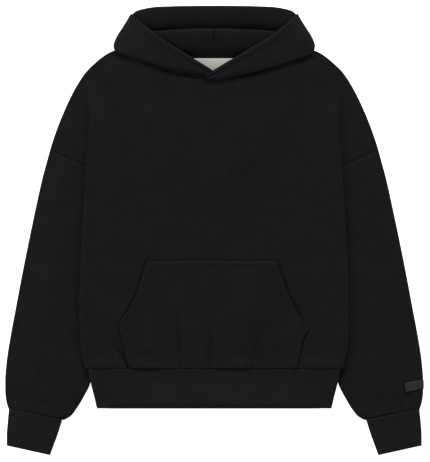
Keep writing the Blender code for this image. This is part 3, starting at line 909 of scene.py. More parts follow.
def flat_loop(
    low: float, high: float, reach: float, radius: float, steps: int
) -> list[tuple[float, float, bool]]:
    """Once round a flattened tube: under layer, fold, upper layer and the other fold.

    Args:
        low: where the last fold's arc ends.
        high: where the first fold's arc starts.
        reach: how far the arcs go past them.
        radius: the arcs' radius.
        steps: how many steps each layer takes.

    Returns:
        Places across, heights over the under layer, and whether each is on the upper layer.
    """
    shares = [step / steps for step in range(steps + 1)]
    angles = [math.pi * step / ARC_STEPS for step in range(1, ARC_STEPS)]
    loop = [(mix(low, high, share), 0.0, False) for share in shares]
    loop += [(high + reach * math.sin(a), radius * (1.0 - math.cos(a)), False) for a in angles]
    loop += [(mix(high, low, share), 2.0 * radius, True) for share in shares]
    loop += [(low - reach * math.sin(a), radius * (1.0 + math.cos(a)), False) for a in angles]
    return loop


COVERED = 0.2  # share of a sleeve's width that the body lies on, from the inner fold
RISE_SHARE = 0.62  # share over which the upper layer rises, from there
RISE_START, RISE_SET_IN = 0.3, 0.16  # how softly it starts to rise
FALL_SHARE = 0.4  # share over which it falls to the outer fold


@dataclass(frozen=True)
class Ring:
    """A straight line across a sleeve or cuff, from its inner fold to its outer fold."""

    inner_x: float
    inner_y: float
    outer_x: float
    outer_y: float
    loft: float
    covered: float = COVERED

    @property
    def width(self) -> float:
        """From fold to fold."""
        return math.hypot(self.outer_x - self.inner_x, self.outer_y - self.inner_y)

    @staticmethod
    def swell(across: float, covered: float = COVERED) -> float:
        """How far the upper layer rises, as a share of its loft.

        Args:
            across: share of the way from the inner fold to the outer one.
            covered: share that the body lies on.

        Returns:
            0 where the body covers it and at the outer fold, and up to 1 between them.
        """
        rise = min(max((across - covered) / RISE_SHARE, 0.0), 1.0)
        set_in = smooth(RISE_START + rise / RISE_SET_IN)
        return rise * (2.0 - rise) * set_in * smooth((1.0 - across) / FALL_SHARE)

    def section(self, wall: float, steps: int) -> list[Point]:
        """The middle of the cloth once round the flattened tube.

        Args:
            wall: the cloth's thickness.
            steps: how many steps each layer takes.

        Returns:
            Points of x, y, z on the wearer's left.
        """
        radius = (wall + AIR) / 2.0
        curl = radius / self.width
        points = []
        for across, height, upper in flat_loop(curl, 1.0 - curl, curl, radius, steps):
            if upper:
                height += self.loft * self.swell(across, self.covered)
            x = mix(self.inner_x, self.outer_x, across)
            y = mix(self.inner_y, self.outer_y, across)
            points.append((x, y, wall / 2.0 + height))
        return points


def lengthwise(sections: np.ndarray, pitch: float, least: int) -> np.ndarray:
    """Closed sections drawn smoothly along a piece.

    Args:
        sections: an array of sections, points and x, y, z.
        pitch: about how far apart the rows come out.
        least: the fewest steps between two sections.

    Returns:
        A grid of points whose rows are closed.
    """
    gaps = np.linalg.norm(np.diff(sections, axis=0), axis=2).mean(axis=1)
    counts = [max(least, math.ceil(gap / pitch)) for gap in gaps]
    flat = through(sections.reshape(len(sections), -1), counts)
    return flat.reshape(len(flat), -1, 3)


def tube_grid(rings: Sequence[Ring], wall: float, steps: int, pitch: float) -> np.ndarray:
    """A flattened tube through its rings, on the wearer's left, as a grid of closed rows."""
    return lengthwise(np.array([ring.section(wall, steps) for ring in rings]), pitch, 1)


def down_fold(grid: np.ndarray, steps: int) -> np.ndarray:
    """How far down a tube's outer fold each of its sections lies.

    Args:
        grid: the tube's points, whose rows are closed.
        steps: how many steps each layer takes across.

    Returns:
        The distance from the first section to each one.
    """
    fold = grid[:, steps + ARC_STEPS // 2]
    spans = np.linalg.norm(np.diff(fold, axis=0), axis=1)
    return np.concatenate([[0.0], np.cumsum(spans)])


@dataclass(frozen=True)
class PocketCut:
    """Outline of the kangaroo pocket: a slanted opening on each side, and short sides."""

    top: float = -58.5
    bottom: float = -262.6
    right_corner: float = -178.5
    left_corner: float = -185.3
    right_edge: Curve = Curve(
        (
            (-58.5, -127.9), (-86.5, -136.2), (-110.0, -143.6), (-130.0, -150.3),
            (-149.0, -160.9), (-165.0, -171.3), (-178.5, -181.8), (-185.3, -180.3),
            (-208.0, -174.3), (-235.0, -168.0), (-262.6, -160.9),
        )
    )
    left_edge: Curve = Curve(
        (
            (-58.5, 118.4), (-86.5, 127.9), (-110.0, 136.4), (-130.0, 144.8),
            (-149.0, 153.7), (-165.0, 162.0), (-178.5, 171.0), (-185.3, 177.3),
            (-208.0, 167.8), (-235.0, 162.0), (-262.6, 156.4),
        )
    )
    slant: float = 0.88  # distance from a side edge as a share of the distance along X
    sewn_depth: float = 0.8
    opening_depth: float = 2.2
    opening_fade: float = 30.0
    side_width: float = 1.9
    side_place: float = 1.0  # outside the edge
    top_groove: Swell = Swell(-0.9, 0.9, 1.7)  # by the distance over the top
    margin: float = 3.0  # the grooves set in this far outside the outline
    margin_fade: float = 5.0

    def inside(self, x: float, y: float) -> float:
        """Distance inside the nearest side edge, below zero outside it."""
        return self.slant * min(self.left_edge(y) - x, x - self.right_edge(y))

    def corner(self, x: float) -> float:
        """The level where the opening on this side ends."""
        return self.right_corner if x < 0.0 else self.left_corner

    def groove(self, x: float, y: float) -> float:
        """How the front is pressed down along the pocket's outline.

        Args:
            x: the point's x.
            y: the point's y.

        Returns:
            What it adds to the height, below zero along the outline.
        """
        opening = smooth((y - self.corner(x)) / self.opening_fade)
        depth = mix(self.sewn_depth, self.opening_depth, opening)
        inset = self.inside(x, y)
        below_top = smooth((self.top + self.margin - y) / self.margin_fade)
        sides = -depth * bell(inset + self.side_place, self.side_width) * below_top
        between_sides = smooth((inset + self.margin) / self.margin_fade)
        return sides + self.top_groove.at(y - self.top) * between_sides


@dataclass(frozen=True)
class Neckline:
    """The rows that start on a neckline's lowest part, which rises slowly over half its width."""

    starts: tuple[float, ...]
    rise: float
    half: float

    def rows(self, lowest: float) -> list[Pair]:
        """The level and the start of each row, over the neckline's lowest level."""
        return [(lowest + self.rise * (start / self.half) ** 2, start) for start in self.starts]


@dataclass
class FrontPanel:
    """The front with its dropped shoulders, folded in at the armholes and under at the sides."""

    form: LaidForm
    pocket: PocketCut
    top_steps: int = 90
    tail_steps: int = 15
    crease_steps: int = 2 * ARC_STEPS + 5  # under the fold beside the armhole
    outline_steps: int = 5  # round the quarter turn onto the outline
    folds: tuple[Fold, ...] = (
        Fold(-64.0, -264.0, -67.0, -146.0, 4.4, -4.0, 0.0),
        Fold(-7.0, -264.0, -4.0, -184.0, 4.2, -6.2, 0.0),
        Fold(74.0, -264.0, 82.0, -206.0, 3.0, -2.6, 0.0),
        Fold(-163.0, -262.0, -190.0, -214.0, 4.0, -5.4, 0.0),
        Fold(144.0, -290.0, 118.0, -60.0, 16.0, -6.4, 0.1),
        Fold(70.0, -290.0, 62.0, -30.0, 24.0, 8.0, 0.1),
        Fold(30.0, 190.0, 40.0, -90.0, 26.0, 1.5, 0.3),
        Fold(-40.0, -250.0, -32.0, -70.0, 17.0, -0.8),
        Fold(143.0, -138.0, 206.0, -192.0, 12.0, -2.8),
        Fold(-157.0, -203.0, -97.0, -249.0, 10.0, 1.6),
        Fold(190.0, -168.0, 206.0, -60.0, 15.0, 1.8),
        Fold(-196.0, -250.0, -150.0, -60.0, 18.0, 0.9),
    )
    wide_fold: float = 10.0  # a fold that is wider than this fades out before the hem
    wide_fade: float = 120.0
    narrow_fade: float = 26.0
    narrow_kept: float = 0.8  # share of a narrow fold that reaches the hem seam
    calm_edge: float = 6.0  # no small folds this close to the side fold and the neck
    calm_side_fade: float = 22.0
    calm_neck_fade: float = 40.0
    seed: float = 3.1
    gather_seed: float = 1.7
    hem_reach: float = 60.0  # how far up from the hem seam its puckers are worked out
    pocket_reach: float = 12.0  # how far over the pocket's top its groove is worked out
    bunch_reach: Swell = Swell(1.0, 4.0, 15.0)
    dome: Swell = Swell(3.0, 44.0, 24.0)  # over the shoulder, by the distance to the outline
    dome_neck: Swell = Swell(3.0, 44.0, 90.0)  # the same towards the neck
    dome_start: float = 205.0
    dome_fade: float = 60.0
    dome_inner: float = 110.0
    dome_inner_fade: float = 90.0
    arm_dome_top: float = 258.0
    arm_dome_fade: float = 80.0
    edge_roll: Swell = Swell(1.3, 6.0, 7.0)  # the bead of thick cloth along the side fold
    edge_roll_drop: float = 40.0  # how far under the top of the crease it starts
    edge_roll_fade: float = 60.0
    hem_dip: float = 1.2  # under the pocket's lower edge
    hem_dip_length: float = 30.0
    hem_dip_fade: float = 12.0
    least_room: float = 0.1  # what a trough always keeps to sink into
    top_share: float = 0.88  # share of a shoulder's section that the fine steps cover
    fall: float = 1.4  # how soon the shoulder comes down to its outline
    dense_from: float = -15.0  # from here down the steps close up at the pocket's edges
    dense_fade: float = 30.0
    spread: Curve = Curve(((0.0, 0.0), (0.27, 0.43), (0.78, 0.76), (1.0, 1.0)))
    neck_stops: Pair = (301.0, 292.6)
    neck_pitch: float = 3.2
    neckline: Neckline = Neckline((47.0, 40.0, 33.0, 26.0, 19.0, 12.0, 6.0), 3.3, 48.0)
    shoulder_pitch: float = 4.4
    armhole_end: float = 115.0  # the last level over the underarm
    underarm: float = 105.0  # the first one under it
    bands: tuple[Pair, ...] = (  # where each band of rows ends, and its pitch
        (-48.0, 5.6), (-66.0, 1.3), (-170.0, 5.0), (-250.0, 3.0),
    )
    bunches: tuple[Swell, ...] = (
        Swell(2.2, -208.0, 28.0),
        Swell(2.4, -124.0, 24.0),
        Swell(2.4, 42.0, 26.0),
        Swell(2.4, 198.0, 30.0),
    )

    def bunching(self, x: float, from_hem: float) -> float:
        """Cloth that bunches up over the tighter rib, in a few places along the seam."""
        return sum(bunch.at(x) for bunch in self.bunches) * self.bunch_reach.at(from_hem)

    def relief(self, x: float, y: float) -> float:
        """Small folds and seam rolls on the top layer.

        Args:
            x: the point's x.
            y: the point's y.

        Returns:
            What they add to the height.
        """
        form = self.form
        to_edge = form.body_edge(y) - abs(x)
        inside = smooth((to_edge - self.calm_edge) / self.calm_side_fade)
        below_neck = smooth((form.front_neck_y - self.calm_edge - y) / self.calm_neck_fade)
        height = unevenness(x, y, self.seed) * inside * below_neck
        from_hem = y - form.hem_seam
        wide_share = smooth(from_hem / self.wide_fade)
        narrow_share = mix(self.narrow_kept, 1.0, smooth(from_hem / self.narrow_fade))
        for fold in self.folds:
            kept = wide_share if fold.width > self.wide_fold else narrow_share
            height += fold.at(x, y) * kept * inside * below_neck
        if from_hem < self.hem_reach:
            puckers = SEAM.gathers(x, from_hem, self.gather_seed) * inside
            height += SEAM.over_rib(from_hem) + puckers
            height += self.bunching(x, from_hem) * inside
        if y < self.pocket.top + self.pocket_reach:
            height += self.pocket.groove(x, y)
        if y > self.dome_start:
            height += self.shoulder_dome(x, y)
        if from_hem < self.hem_dip_length:
            under_pocket = smooth(self.pocket.inside(x, y) / self.hem_dip_fade)
            height -= self.hem_dip * smooth(1.0 - from_hem / self.hem_dip_length) * under_pocket
        down = form.crease_top - self.edge_roll_drop - y
        rolled = smooth(down / self.edge_roll_fade) * smooth(from_hem / self.hem_dip_length)
        return height + self.edge_roll.at(to_edge) * rolled

    def surface(self, x: float, y: float) -> float:
        """Middle of the top layer with its small folds, which bottom out on the back.

        Args:
            x: the point's x.
            y: the point's y.

        Returns:
            Its height over the table.
        """
        height = self.form.top(x, y)
        on_back = PANEL_LAYER + self.form.lift(x, y) - AIR + SEAM_GAP
        room = max(height - on_back, self.least_room)
        relief = self.relief(x, y)
        return height + (relief if relief > 0.0 else room * math.tanh(relief / room))

    def arm_dome(self, x: float, y: float) -> float:
        """How far the cloth over the top of the arm rises, as the sleeve below it does."""
        across = (x - self.form.armhole_in[0]) / (self.form.shoulder(y) - self.form.armhole_in[0])
        return ARM_LOFT * Ring.swell(across) * smooth((self.arm_dome_top - y) / self.arm_dome_fade)

    def shoulder_dome(self, x: float, y: float) -> float:
        """How the cloth over the shoulder swells before it falls to the outline.

        Args:
            x: the point's x, on either side.
            y: the point's y.

        Returns:
            What it adds to the height.
        """
        to_outline = (self.form.shoulder(y) - abs(x)) / self.outline_slant(y)
        fade = smooth((y - self.dome_start) / self.dome_fade)
        fade *= smooth((abs(x) - self.dome_inner) / self.dome_inner_fade)
        dome = self.dome if to_outline < self.dome.place else self.dome_neck
        return dome.at(to_outline) * fade

    def outline_slant(self, y: float) -> float:
        """How much longer the way to the outline is along X than straight across it."""
        slope = (self.form.shoulder(y + 2.0) - self.form.shoulder(y - 2.0)) / 4.0
        return math.hypot(1.0, slope)

    def outline_reach(self, y: float) -> float:
        """Width along X of the quarter turn onto the outline, which slants."""
        return FOLD_RADIUS * self.outline_slant(y)

    def outline_drop(self, x: float, y: float) -> float:
        """How far that quarter turn moves the cloth towards the seam at a point."""
        share = 1.0 - (self.form.shoulder(y) - x) / self.outline_reach(y)
        return (FOLD_RADIUS - SEAM_GAP) * (1.0 - math.sqrt(1.0 - min(max(share, 0.0), 1.0) ** 2))

    def row_above(self, y: float, start: float, side: float) -> list[Pair]:
        """Half a section from the neck to the armhole, from the middle outwards.

        Args:
            y: the level.
            start: where the neckline is at that level, or 0 below it.
            side: 1 on the wearer's left and -1 on the right.

        Returns:
            Points of x, counted outwards, and z.
        """
        form = self.form
        turn = form.crease_turn(y)
        length = form.fold_length(y)
        reach = length * (math.sin(min(turn, math.pi / 2.0)) / turn if turn > 1e-3 else 1.0)
        at_armhole = y < form.armhole_out[1] - 0.01
        outer = form.armhole_x(y) if at_armhole else form.shoulder(y)
        top_end = form.body_edge(y) - reach
        if not at_armhole:
            top_end = min(top_end, mix(start, outer, self.top_share))
        points = []
        for step in range(self.top_steps + 1):
            x = mix(start, top_end, step / self.top_steps)
            points.append((x, self.surface(side * x, y)))
        if y < form.crease_top:
            points += form.crease_path(*points[-1], y).points[1:]
        x, z = points[-1]
        z_end = PANEL_LAYER + form.lift(outer, y)
        flat_end = max(outer - self.outline_reach(y), x + 0.3)
        arc_steps = self.outline_steps
        total = self.top_steps + 1 + self.crease_steps + self.tail_steps
        count = total - arc_steps - len(points)
        places = [mix(x, flat_end, step / count) for step in range(1, count + 1)]
        for step in range(1, arc_steps + 1):
            share = math.sin(math.pi / 2.0 * step / arc_steps)
            places.append(mix(flat_end, max(outer, x + 0.5), share))
        for place in places:
            share = (place - x) / (flat_end - x)
            level = mix(z - self.shoulder_dome(x, y), z_end, smooth(share * self.fall))
            level += self.arm_dome(place, y) + self.shoulder_dome(place, y)
            roll = SEAM.roll(form.above_armhole(place, y)) - self.outline_drop(place, y)
            points.append((place, level + roll))
        return points

    def underarm_row(self, side: float) -> list[Pair]:
        """Where the body leaves the sleeve: the section ends halfway round its inner fold.

        Args:
            side: 1 on the wearer's left and -1 on the right.

        Returns:
            Points of x, counted outwards, and z.
        """
        kept = self.top_steps + 1 + self.crease_steps - ARC_STEPS
        points = self.row_above(self.form.armhole_in[1], 0.0, side)[:kept]
        x, z = points[-1]
        count = ARC_STEPS + self.tail_steps
        for step in range(1, count + 1):
            angle = math.pi / 2.0 * step / count
            turned = FOLD_RADIUS * math.sin(angle)
            points.append((x - turned, z - FOLD_RADIUS * (1.0 - math.cos(angle))))
        return points

    def row_below(self, y: float, side: float) -> list[Pair]:
        """Half a section under the armhole: out, round the side fold and back under.

        Args:
            y: the level.
            side: 1 on the wearer's left and -1 on the right.

        Returns:
            Points of x, counted outwards, and z.
        """
        form = self.form
        top_end = form.body_edge(y) - FOLD_RADIUS
        dense = smooth((self.dense_from - y) / self.dense_fade)
        points = []
        for step in range(self.top_steps + 1):
            share = step / self.top_steps
            x = mix(top_end * share, self.spread(share) * top_end, dense)
            points.append((x, self.surface(side * x, y)))
        strip = Strip(top_end, points[-1][1])
        strip.bend(FOLD_RADIUS * math.pi, -math.pi, ARC_STEPS)
        strip.ahead(strip.x - form.sleeve_inner(y) + form.ramp_end, 5)
        points += strip.points[1:]
        x, z = points[-1]
        end = form.side_seam_x(y) + SEAM_GAP / 2.0
        count = ARC_STEPS + self.tail_steps
        for step in range(1, count + 1):
            share = step / count
            points.append((mix(x, end, share), mix(z, TABLE_LAYER, smooth(1.15 * share))))
        return points

    def half(self, side: float) -> np.ndarray:
        """The rows of one half, from the neck down to the hem.

        Args:
            side: 1 on the wearer's left and -1 on the right.

        Returns:
            A grid of points.
        """
        form = self.form
        rows = []
        for y in levels((form.neck_top, *self.neck_stops), self.neck_pitch):
            rows.append((y, self.row_above(y, form.front_neck(y), side)))
        for y, start in self.neckline.rows(form.front_neck_y):
            rows.append((y, self.row_above(y, start, side)))
        tip, pitch = form.armhole_out[1], self.shoulder_pitch
        above = levels((form.front_neck_y, form.crease_top, tip), pitch)
        for y in above + levels((tip - 0.5, self.armhole_end), pitch):
            rows.append((y, self.row_above(y, 0.0, side)))
        rows.append((form.armhole_in[1], self.underarm_row(side)))
        below = [self.underarm]
        for end, pitch in (*self.bands, (form.hem_seam, self.bands[-1][1])):
            below += levels((below[-1], end), pitch)[1:]
        for y in below:
            rows.append((y, self.row_below(y, side)))
        return np.array([[(side * x, y, z) for x, z in points] for y, points in rows])

    def build(self) -> bpy.types.Object:
        """Makes the panel."""
        halves = [self.half(1.0), self.half(-1.0)]
        return cloth_mesh("front_panel", "front", halves, COTTON_FLEECE, thickness=FLEECE)


@dataclass
class BackPanel:
    """The back, flat on the table and over the hood's bag."""

    form: LaidForm
    front: FrontPanel
    steps: int = 44
    outline_steps: int = 4  # round the quarter turn onto the outline
    underarm_room: float = 3.9  # between the back and the side fold just under the armhole
    underarm_fade: float = 25.0
    underarm_turn: float = 6.0
    neck_stop: float = 331.5
    neck_pitch: float = 3.0
    neckline: Neckline = Neckline((50.0, 38.0, 26.0, 14.0, 6.0), 4.4, 62.0)
    shoulder_pitch: float = 6.0
    underarm: float = 105.0
    body_top: float = 98.0
    body_pitch: float = 9.0

    def row(self, y: float, start: float, side: float) -> list[Point]:
        """Half a section from the middle outwards.

        Args:
            y: the level.
            start: where the neckline is at that level, or 0 below it.
            side: 1 on the wearer's left and -1 on the right.

        Returns:
            Points of x, y and z.
        """
        form, front = self.form, self.front
        on_outline = y >= form.armhole_out[1] - 0.01
        if on_outline:
            last = form.shoulder(y)
        elif y > form.armhole_in[1]:
            last = form.armhole_x(y)
        else:
            down = form.armhole_in[1] - y
            room = SEAM_GAP / 2.0 + self.underarm_room * smooth(1.0 - down / self.underarm_fade)
            seam = form.side_seam_x(y) - room
            last = mix(form.armhole_in[0], seam, smooth(down / self.underarm_turn))
        flat_end = last - front.outline_reach(y)
        places = [mix(start, flat_end, step / self.steps) for step in range(self.steps + 1)]
        for step in range(1, self.outline_steps + 1):
            angle = math.pi / 2.0 / self.outline_steps * step
            places.append(mix(flat_end, last, math.sin(angle)))
        points = []
        for x in places:
            turn = front.outline_drop(x, y) if y > form.armhole_in[1] else 0.0
            points.append((x, TABLE_LAYER + form.lift(x, y) + turn))
        return [(side * x, y, z) for x, z in points]

    def half(self, side: float) -> np.ndarray:
        """The rows of one half, from the neck down to the hem.

        Args:
            side: 1 on the wearer's left and -1 on the right.

        Returns:
            A grid of points.
        """
        form = self.form
        neck = levels((form.neck_top, self.neck_stop), self.neck_pitch)
        starts = [(y, form.back_neck(y)) for y in neck]
        starts += self.neckline.rows(form.back_neck_y)
        tip, pitch = form.armhole_out[1], self.shoulder_pitch
        low = levels((form.back_neck_y, tip), pitch)
        low += levels((tip - 0.5, form.armhole_in[1], self.underarm), pitch)
        low += levels((self.body_top, form.hem_seam), self.body_pitch)
        return np.array([self.row(y, x, side) for y, x in starts + [(y, 0.0) for y in low]])

    def build(self) -> bpy.types.Object:
        """Makes the panel."""
        halves = [self.half(1.0), self.half(-1.0)]
        return cloth_mesh("back_panel", "back", halves, COTTON_FLEECE, thickness=FLEECE)


@dataclass
class Sleeve:
    """One sleeve, a flattened tube from the armhole seam to the cuff seam."""

    name: str
    side: float
    seed: float
    folds: tuple[Fold, ...]
    steps: int = 34
    pitch: float = 4.6
    uneven: float = 1.1  # how much more it rises and falls than the body
    calm_top: float = 14.0  # lengths over which small folds set in at the seams
    calm_cuff: float = 5.0
    rib_share: float = 0.9  # share of the body's puff over the rib
    rings: tuple[Ring, ...] = (
        Ring(220.0, 111.2, 311.0, 152.7, ARM_LOFT),
        Ring(220.5, 86.0, 318.2, 126.0, 4.8),
        Ring(220.9, 62.0, 325.0, 101.0, 5.4),
        Ring(222.0, 4.0, 338.4, 41.0, 6.4),
        Ring(223.4, -56.0, 351.0, -19.0, 6.8),
        Ring(225.0, -116.0, 363.6, -82.0, 7.0),
        Ring(227.3, -178.0, 375.8, -147.0, 7.0),
        Ring(229.3, -231.0, 386.6, -205.0, 6.8),
        Ring(232.2, -270.0, 393.4, -250.0, 6.4, 0.15),
        Ring(236.8, -291.0, 396.0, -284.0, 5.8, 0.08),
        Ring(248.3, -314.5, 396.0, -304.0, 5.0, 0.02),
        Ring(261.9, -337.2, 394.4, -321.0, 3.6, 0.0),
        Ring(274.1, -352.4, 391.6, -332.5, 2.6, 0.0),
        Ring(286.4, -359.3, 389.3, -338.8, 2.0, 0.0),
    )

    def grid(self) -> np.ndarray:
        """The sleeve's sections with its folds, seam rolls and gathers.

        Returns:
            A grid of points whose rows are closed.
        """
        grid = tube_grid(self.rings, FLEECE, self.steps, self.pitch)
        from_top = down_fold(grid, self.steps)
        from_cuff = from_top[-1] - from_top
        last = 2 * self.steps + ARC_STEPS
        for row in range(len(grid)):
            for column in range(self.steps + ARC_STEPS + 1, last):
                x, y, z = grid[row, column]
                across = (last - column) / self.steps
                free = smooth((across - 0.3) / 0.2) * smooth((1.0 - across) / 0.12)
                rise = unevenness(x, y, self.seed) * self.uneven
                rise += sum(fold.at(x, y) for fold in self.folds)
                rise += SEAM.gathers(across * self.rings[-1].width, from_cuff[row], self.seed)
                edge = smooth(from_top[row] / self.calm_top)
                edge *= smooth(from_cuff[row] / self.calm_cuff)
                puff = self.rib_share * SEAM.over_rib(from_cuff[row])
                puff *= smooth((across - 0.02) / 0.1)
                puff *= smooth((1.0 - across) / 0.08)
                z += rise * free * edge
                grid[row, column, 2] = z + puff + SEAM.roll(from_top[row]) * free
        grid[:, :, 0] *= self.side
        return grid

    def build(self) -> bpy.types.Object:
        """Makes the sleeve."""
        name, grids = self.name + "_cloth", [self.grid()]
        return cloth_mesh(name, self.name, grids, COTTON_FLEECE, closed=True, thickness=FLEECE)


@dataclass
class Cuff:
    """One cuff, a tube of rib folded double."""

    name: str
    side: float
    steps: int = 30
    pitch: float = 3.0
    hold_share: float = 0.8  # share of the hem band's rise beside its seam
    rings: tuple[Ring, ...] = (
        Ring(289.6, -359.0, 388.5, -338.6, 2.8, 0.0),
        Ring(297.6, -384.2, 391.2, -364.6, 2.2, 0.0),
        Ring(305.4, -406.0, 392.8, -387.4, 1.2, 0.0),
        Ring(313.0, -426.3, 392.9, -408.7, 0.3, 0.0),
    )

    def build(self) -> bpy.types.Object:
        """Makes the cuff.

        Returns:
            The piece.
        """
        grid = tube_grid(self.rings, RIB, self.steps, self.pitch)
        upper = slice(self.steps + ARC_STEPS + 1, 2 * self.steps + ARC_STEPS)
        for row, from_seam in enumerate(down_fold(grid, self.steps)):
            grid[row, upper, 2] += self.hold_share * SEAM.on_rib(from_seam)
        grid[:, :, 0] *= self.side
        name = self.name + "_cloth"
        return cloth_mesh(name, self.name, [grid], COTTON_RIB, closed=True, thickness=RIB)


@dataclass
class HemBand:
    """The hem band, one tube of rib folded double, whose corners lie on the sleeves."""

    form: LaidForm
    steps: int = 110
    lift_end: float = -337.0  # the lift has come down to the table here
    lift_fade: float = 58.0
    lift_bottom: float = -288.0  # the sleeve's lift is the same from here down
    puff: float = 1.0
    edge_puff: float = 2.6  # more of it towards the lower edge, where the band is folded
    edge_puff_top: float = -284.0
    edge_puff_fade: float = 42.0
    corner_inset: float = 12.0
    corner_fade: float = 20.0
    edge_fade: float = 9.0
    small: float = 0.5  # share of the body's small rise and fall
    stretch: float = 1.3  # how much closer together it comes along the band
    seed: float = 11.0
    gather_seed: float = 5.5
    stops: tuple[float, ...] = (-263.1, -271.0, -330.0, -337.8)
    pitch: float = 3.4
    half_width: Curve = Curve(
        (
            (-263.1, 238.6), (-277.0, 236.0), (-291.7, 232.5), (-307.0, 228.9),
            (-322.0, 225.2), (-335.0, 222.2), (-337.8, 220.6),
        )
    )

    def ring(self, y: float) -> list[Point]:
        """The middle of the cloth once round at a level.

        The sleeve below lifts both layers; the upper one bridges the hollow in a long slope.

        Args:
            y: the level.

        Returns:
            Points of x, y, z.
        """
        half, form = self.half_width(y), self.form
        radius = (RIB + AIR) / 2.0
        flat = half - radius
        fade = smooth((y - self.lift_end) / self.lift_fade)
        from_seam = form.hem_seam - SEAM_GAP - y
        level = max(y, self.lift_bottom)
        rise = RETURN_LAYER - TABLE_LAYER
        puffed = self.puff + self.edge_puff * smooth((self.edge_puff_top - y) / self.edge_puff_fade)
        puffed *= smooth((y - self.stops[-1]) / self.edge_fade)
        points = []
        for x, height, upper in flat_loop(-flat, flat, radius, radius, self.steps):
            if not upper:
                lift = rise * form.climb(min(abs(x), flat), level) * fade
                points.append((x, y, RIB / 2.0 + lift + height))
                continue
            inside = smooth((half - self.corner_inset - abs(x)) / self.corner_fade)
            uneven = self.small * unevenness(x * self.stretch, y, self.seed) * inside
            uneven += SEAM.on_rib(from_seam)
            uneven += SEAM.gathers(x, from_seam, self.gather_seed) * self.small * inside
            lift = rise * form.top_climb(x, level) * fade
            points.append((x, y, RIB / 2.0 + lift + height + puffed * inside + uneven))
        return points

    def build(self) -> bpy.types.Object:
        """Makes the band."""
        rings = np.array([self.ring(y) for y in levels(self.stops, self.pitch)])
        return cloth_mesh("hem_band_cloth", "hem_band", [rings], COTTON_RIB, closed=True, thickness=RIB)


@dataclass(frozen=True)
class BagRow:
    """A section along Y of half a hood where it lies on the table.

    It runs from the bottom of its bag over the neck seam to the fold, at the height fold_z, and
    over the far band, at the height band_z, to its top.
    """

    x: float
    bottom: float
    neck: float
    fold: float
    top: float
    fold_z: float
    band_z: float


@dataclass(frozen=True)
class LobeRow:
    """A section across the turned-out front, from its rim to its rolled edge."""

    rim_x: float
    rim_y: float
    edge_x: float
    edge_y: float
    rim_z: float
    edge_z: float
    top_z: float


BAG_ROWS = (
    BagRow(0.0, 130.0, 326.8, 381.2, 426.9, 24.0, 14.2),
    BagRow(2.4, 130.1, 326.8, 382.4, 427.1, 26.2, 14.7),
    BagRow(6.0, 130.3, 327.0, 382.8, 427.1, 27.0, 14.8),
    BagRow(30.0, 136.5, 328.6, 382.4, 426.9, 27.0, 14.8),
    BagRow(62.0, 159.0, 331.6, 381.2, 426.6, 26.4, 14.8),
    BagRow(90.0, 200.0, 338.3, 379.6, 425.8, 24.6, 14.2),
    BagRow(112.0, 262.0, 346.2, 377.6, 424.8, 21.6, 13.2),
    BagRow(119.0, 300.0, 350.3, 377.0, 424.0, 20.0, 12.6),
    BagRow(124.0, 356.0, 357.6, 376.4, 423.2, 15.0, 11.8),
    BagRow(148.0, 353.5, 355.0, 373.4, 417.2, 8.4, 8.6),
    BagRow(160.0, 351.5, 353.0, 370.2, 404.6, 7.4, 6.4),
    BagRow(176.0, 348.5, 350.0, 364.0, 376.0, 7.5, 4.8),
    BagRow(185.0, 347.0, 348.2, 356.0, 361.0, 5.0, 4.6),
)
LEFT_LOBE = (
    LobeRow(-20.6, 289.2, -19.6, 287.2, 18.6, 18.6, 20.8),
    LobeRow(-2.1, 303.8, -2.1, 284.9, 20.6, 18.8, 22.0),
    LobeRow(19.0, 316.8, 33.0, 289.7, 22.6, 14.2, 23.2),
    LobeRow(46.0, 332.8, 74.0, 299.2, 23.4, 13.2, 24.0),
    LobeRow(61.0, 341.8, 94.0, 304.1, 23.6, 12.6, 24.0),
    LobeRow(76.6, 351.4, 116.0, 310.8, 23.6, 12.0, 23.6),
    LobeRow(87.0, 357.8, 134.0, 316.2, 23.4, 9.0, 22.6),
    LobeRow(97.0, 364.0, 152.0, 322.4, 22.8, 8.4, 20.8),
    LobeRow(111.0, 373.2, 188.0, 338.2, 22.2, 6.0, 15.4),
    LobeRow(122.0, 381.2, 191.6, 351.0, 20.8, 3.4, 13.2),
    LobeRow(132.0, 389.0, 185.8, 367.4, 18.0, 0.8, 11.8),
    LobeRow(142.0, 397.6, 174.8, 385.2, 14.2, 0.6, 10.4),
    LobeRow(150.0, 405.0, 164.6, 401.6, 9.6, 0.6, 8.6),
    LobeRow(154.6, 409.6, 158.6, 412.4, 6.0, 0.8, 6.6),
)
RIGHT_LOBE = (
    LobeRow(8.0, 298.0, 4.0, 290.8, 14.6, 14.4, 17.4),
    LobeRow(-2.1, 303.8, -18.4, 294.8, 15.4, 14.4, 19.4),
    LobeRow(-19.0, 314.2, -40.0, 297.4, 19.6, 13.4, 22.6),
    LobeRow(-46.0, 331.2, -78.0, 304.0, 23.2, 13.2, 24.4),
    LobeRow(-61.5, 340.8, -97.0, 309.2, 23.8, 12.6, 24.8),
    LobeRow(-76.6, 350.2, -118.0, 316.0, 23.8, 12.0, 24.4),
    LobeRow(-87.0, 357.2, -134.0, 321.4, 23.6, 9.0, 23.2),
    LobeRow(-97.0, 363.8, -152.0, 327.3, 23.2, 8.4, 21.6),
    LobeRow(-111.0, 373.8, -188.0, 340.2, 22.2, 6.0, 16.2),
    LobeRow(-122.0, 382.0, -191.6, 351.0, 20.8, 3.4, 13.2),
    LobeRow(-132.0, 389.8, -185.8, 367.4, 18.0, 0.8, 11.8),
    LobeRow(-142.0, 398.2, -174.8, 385.2, 14.2, 0.6, 10.4),
    LobeRow(-150.0, 405.4, -164.6, 401.6, 9.6, 0.6, 8.6),
    LobeRow(-154.0, 409.2, -158.6, 412.4, 6.0, 0.8, 6.6),
)


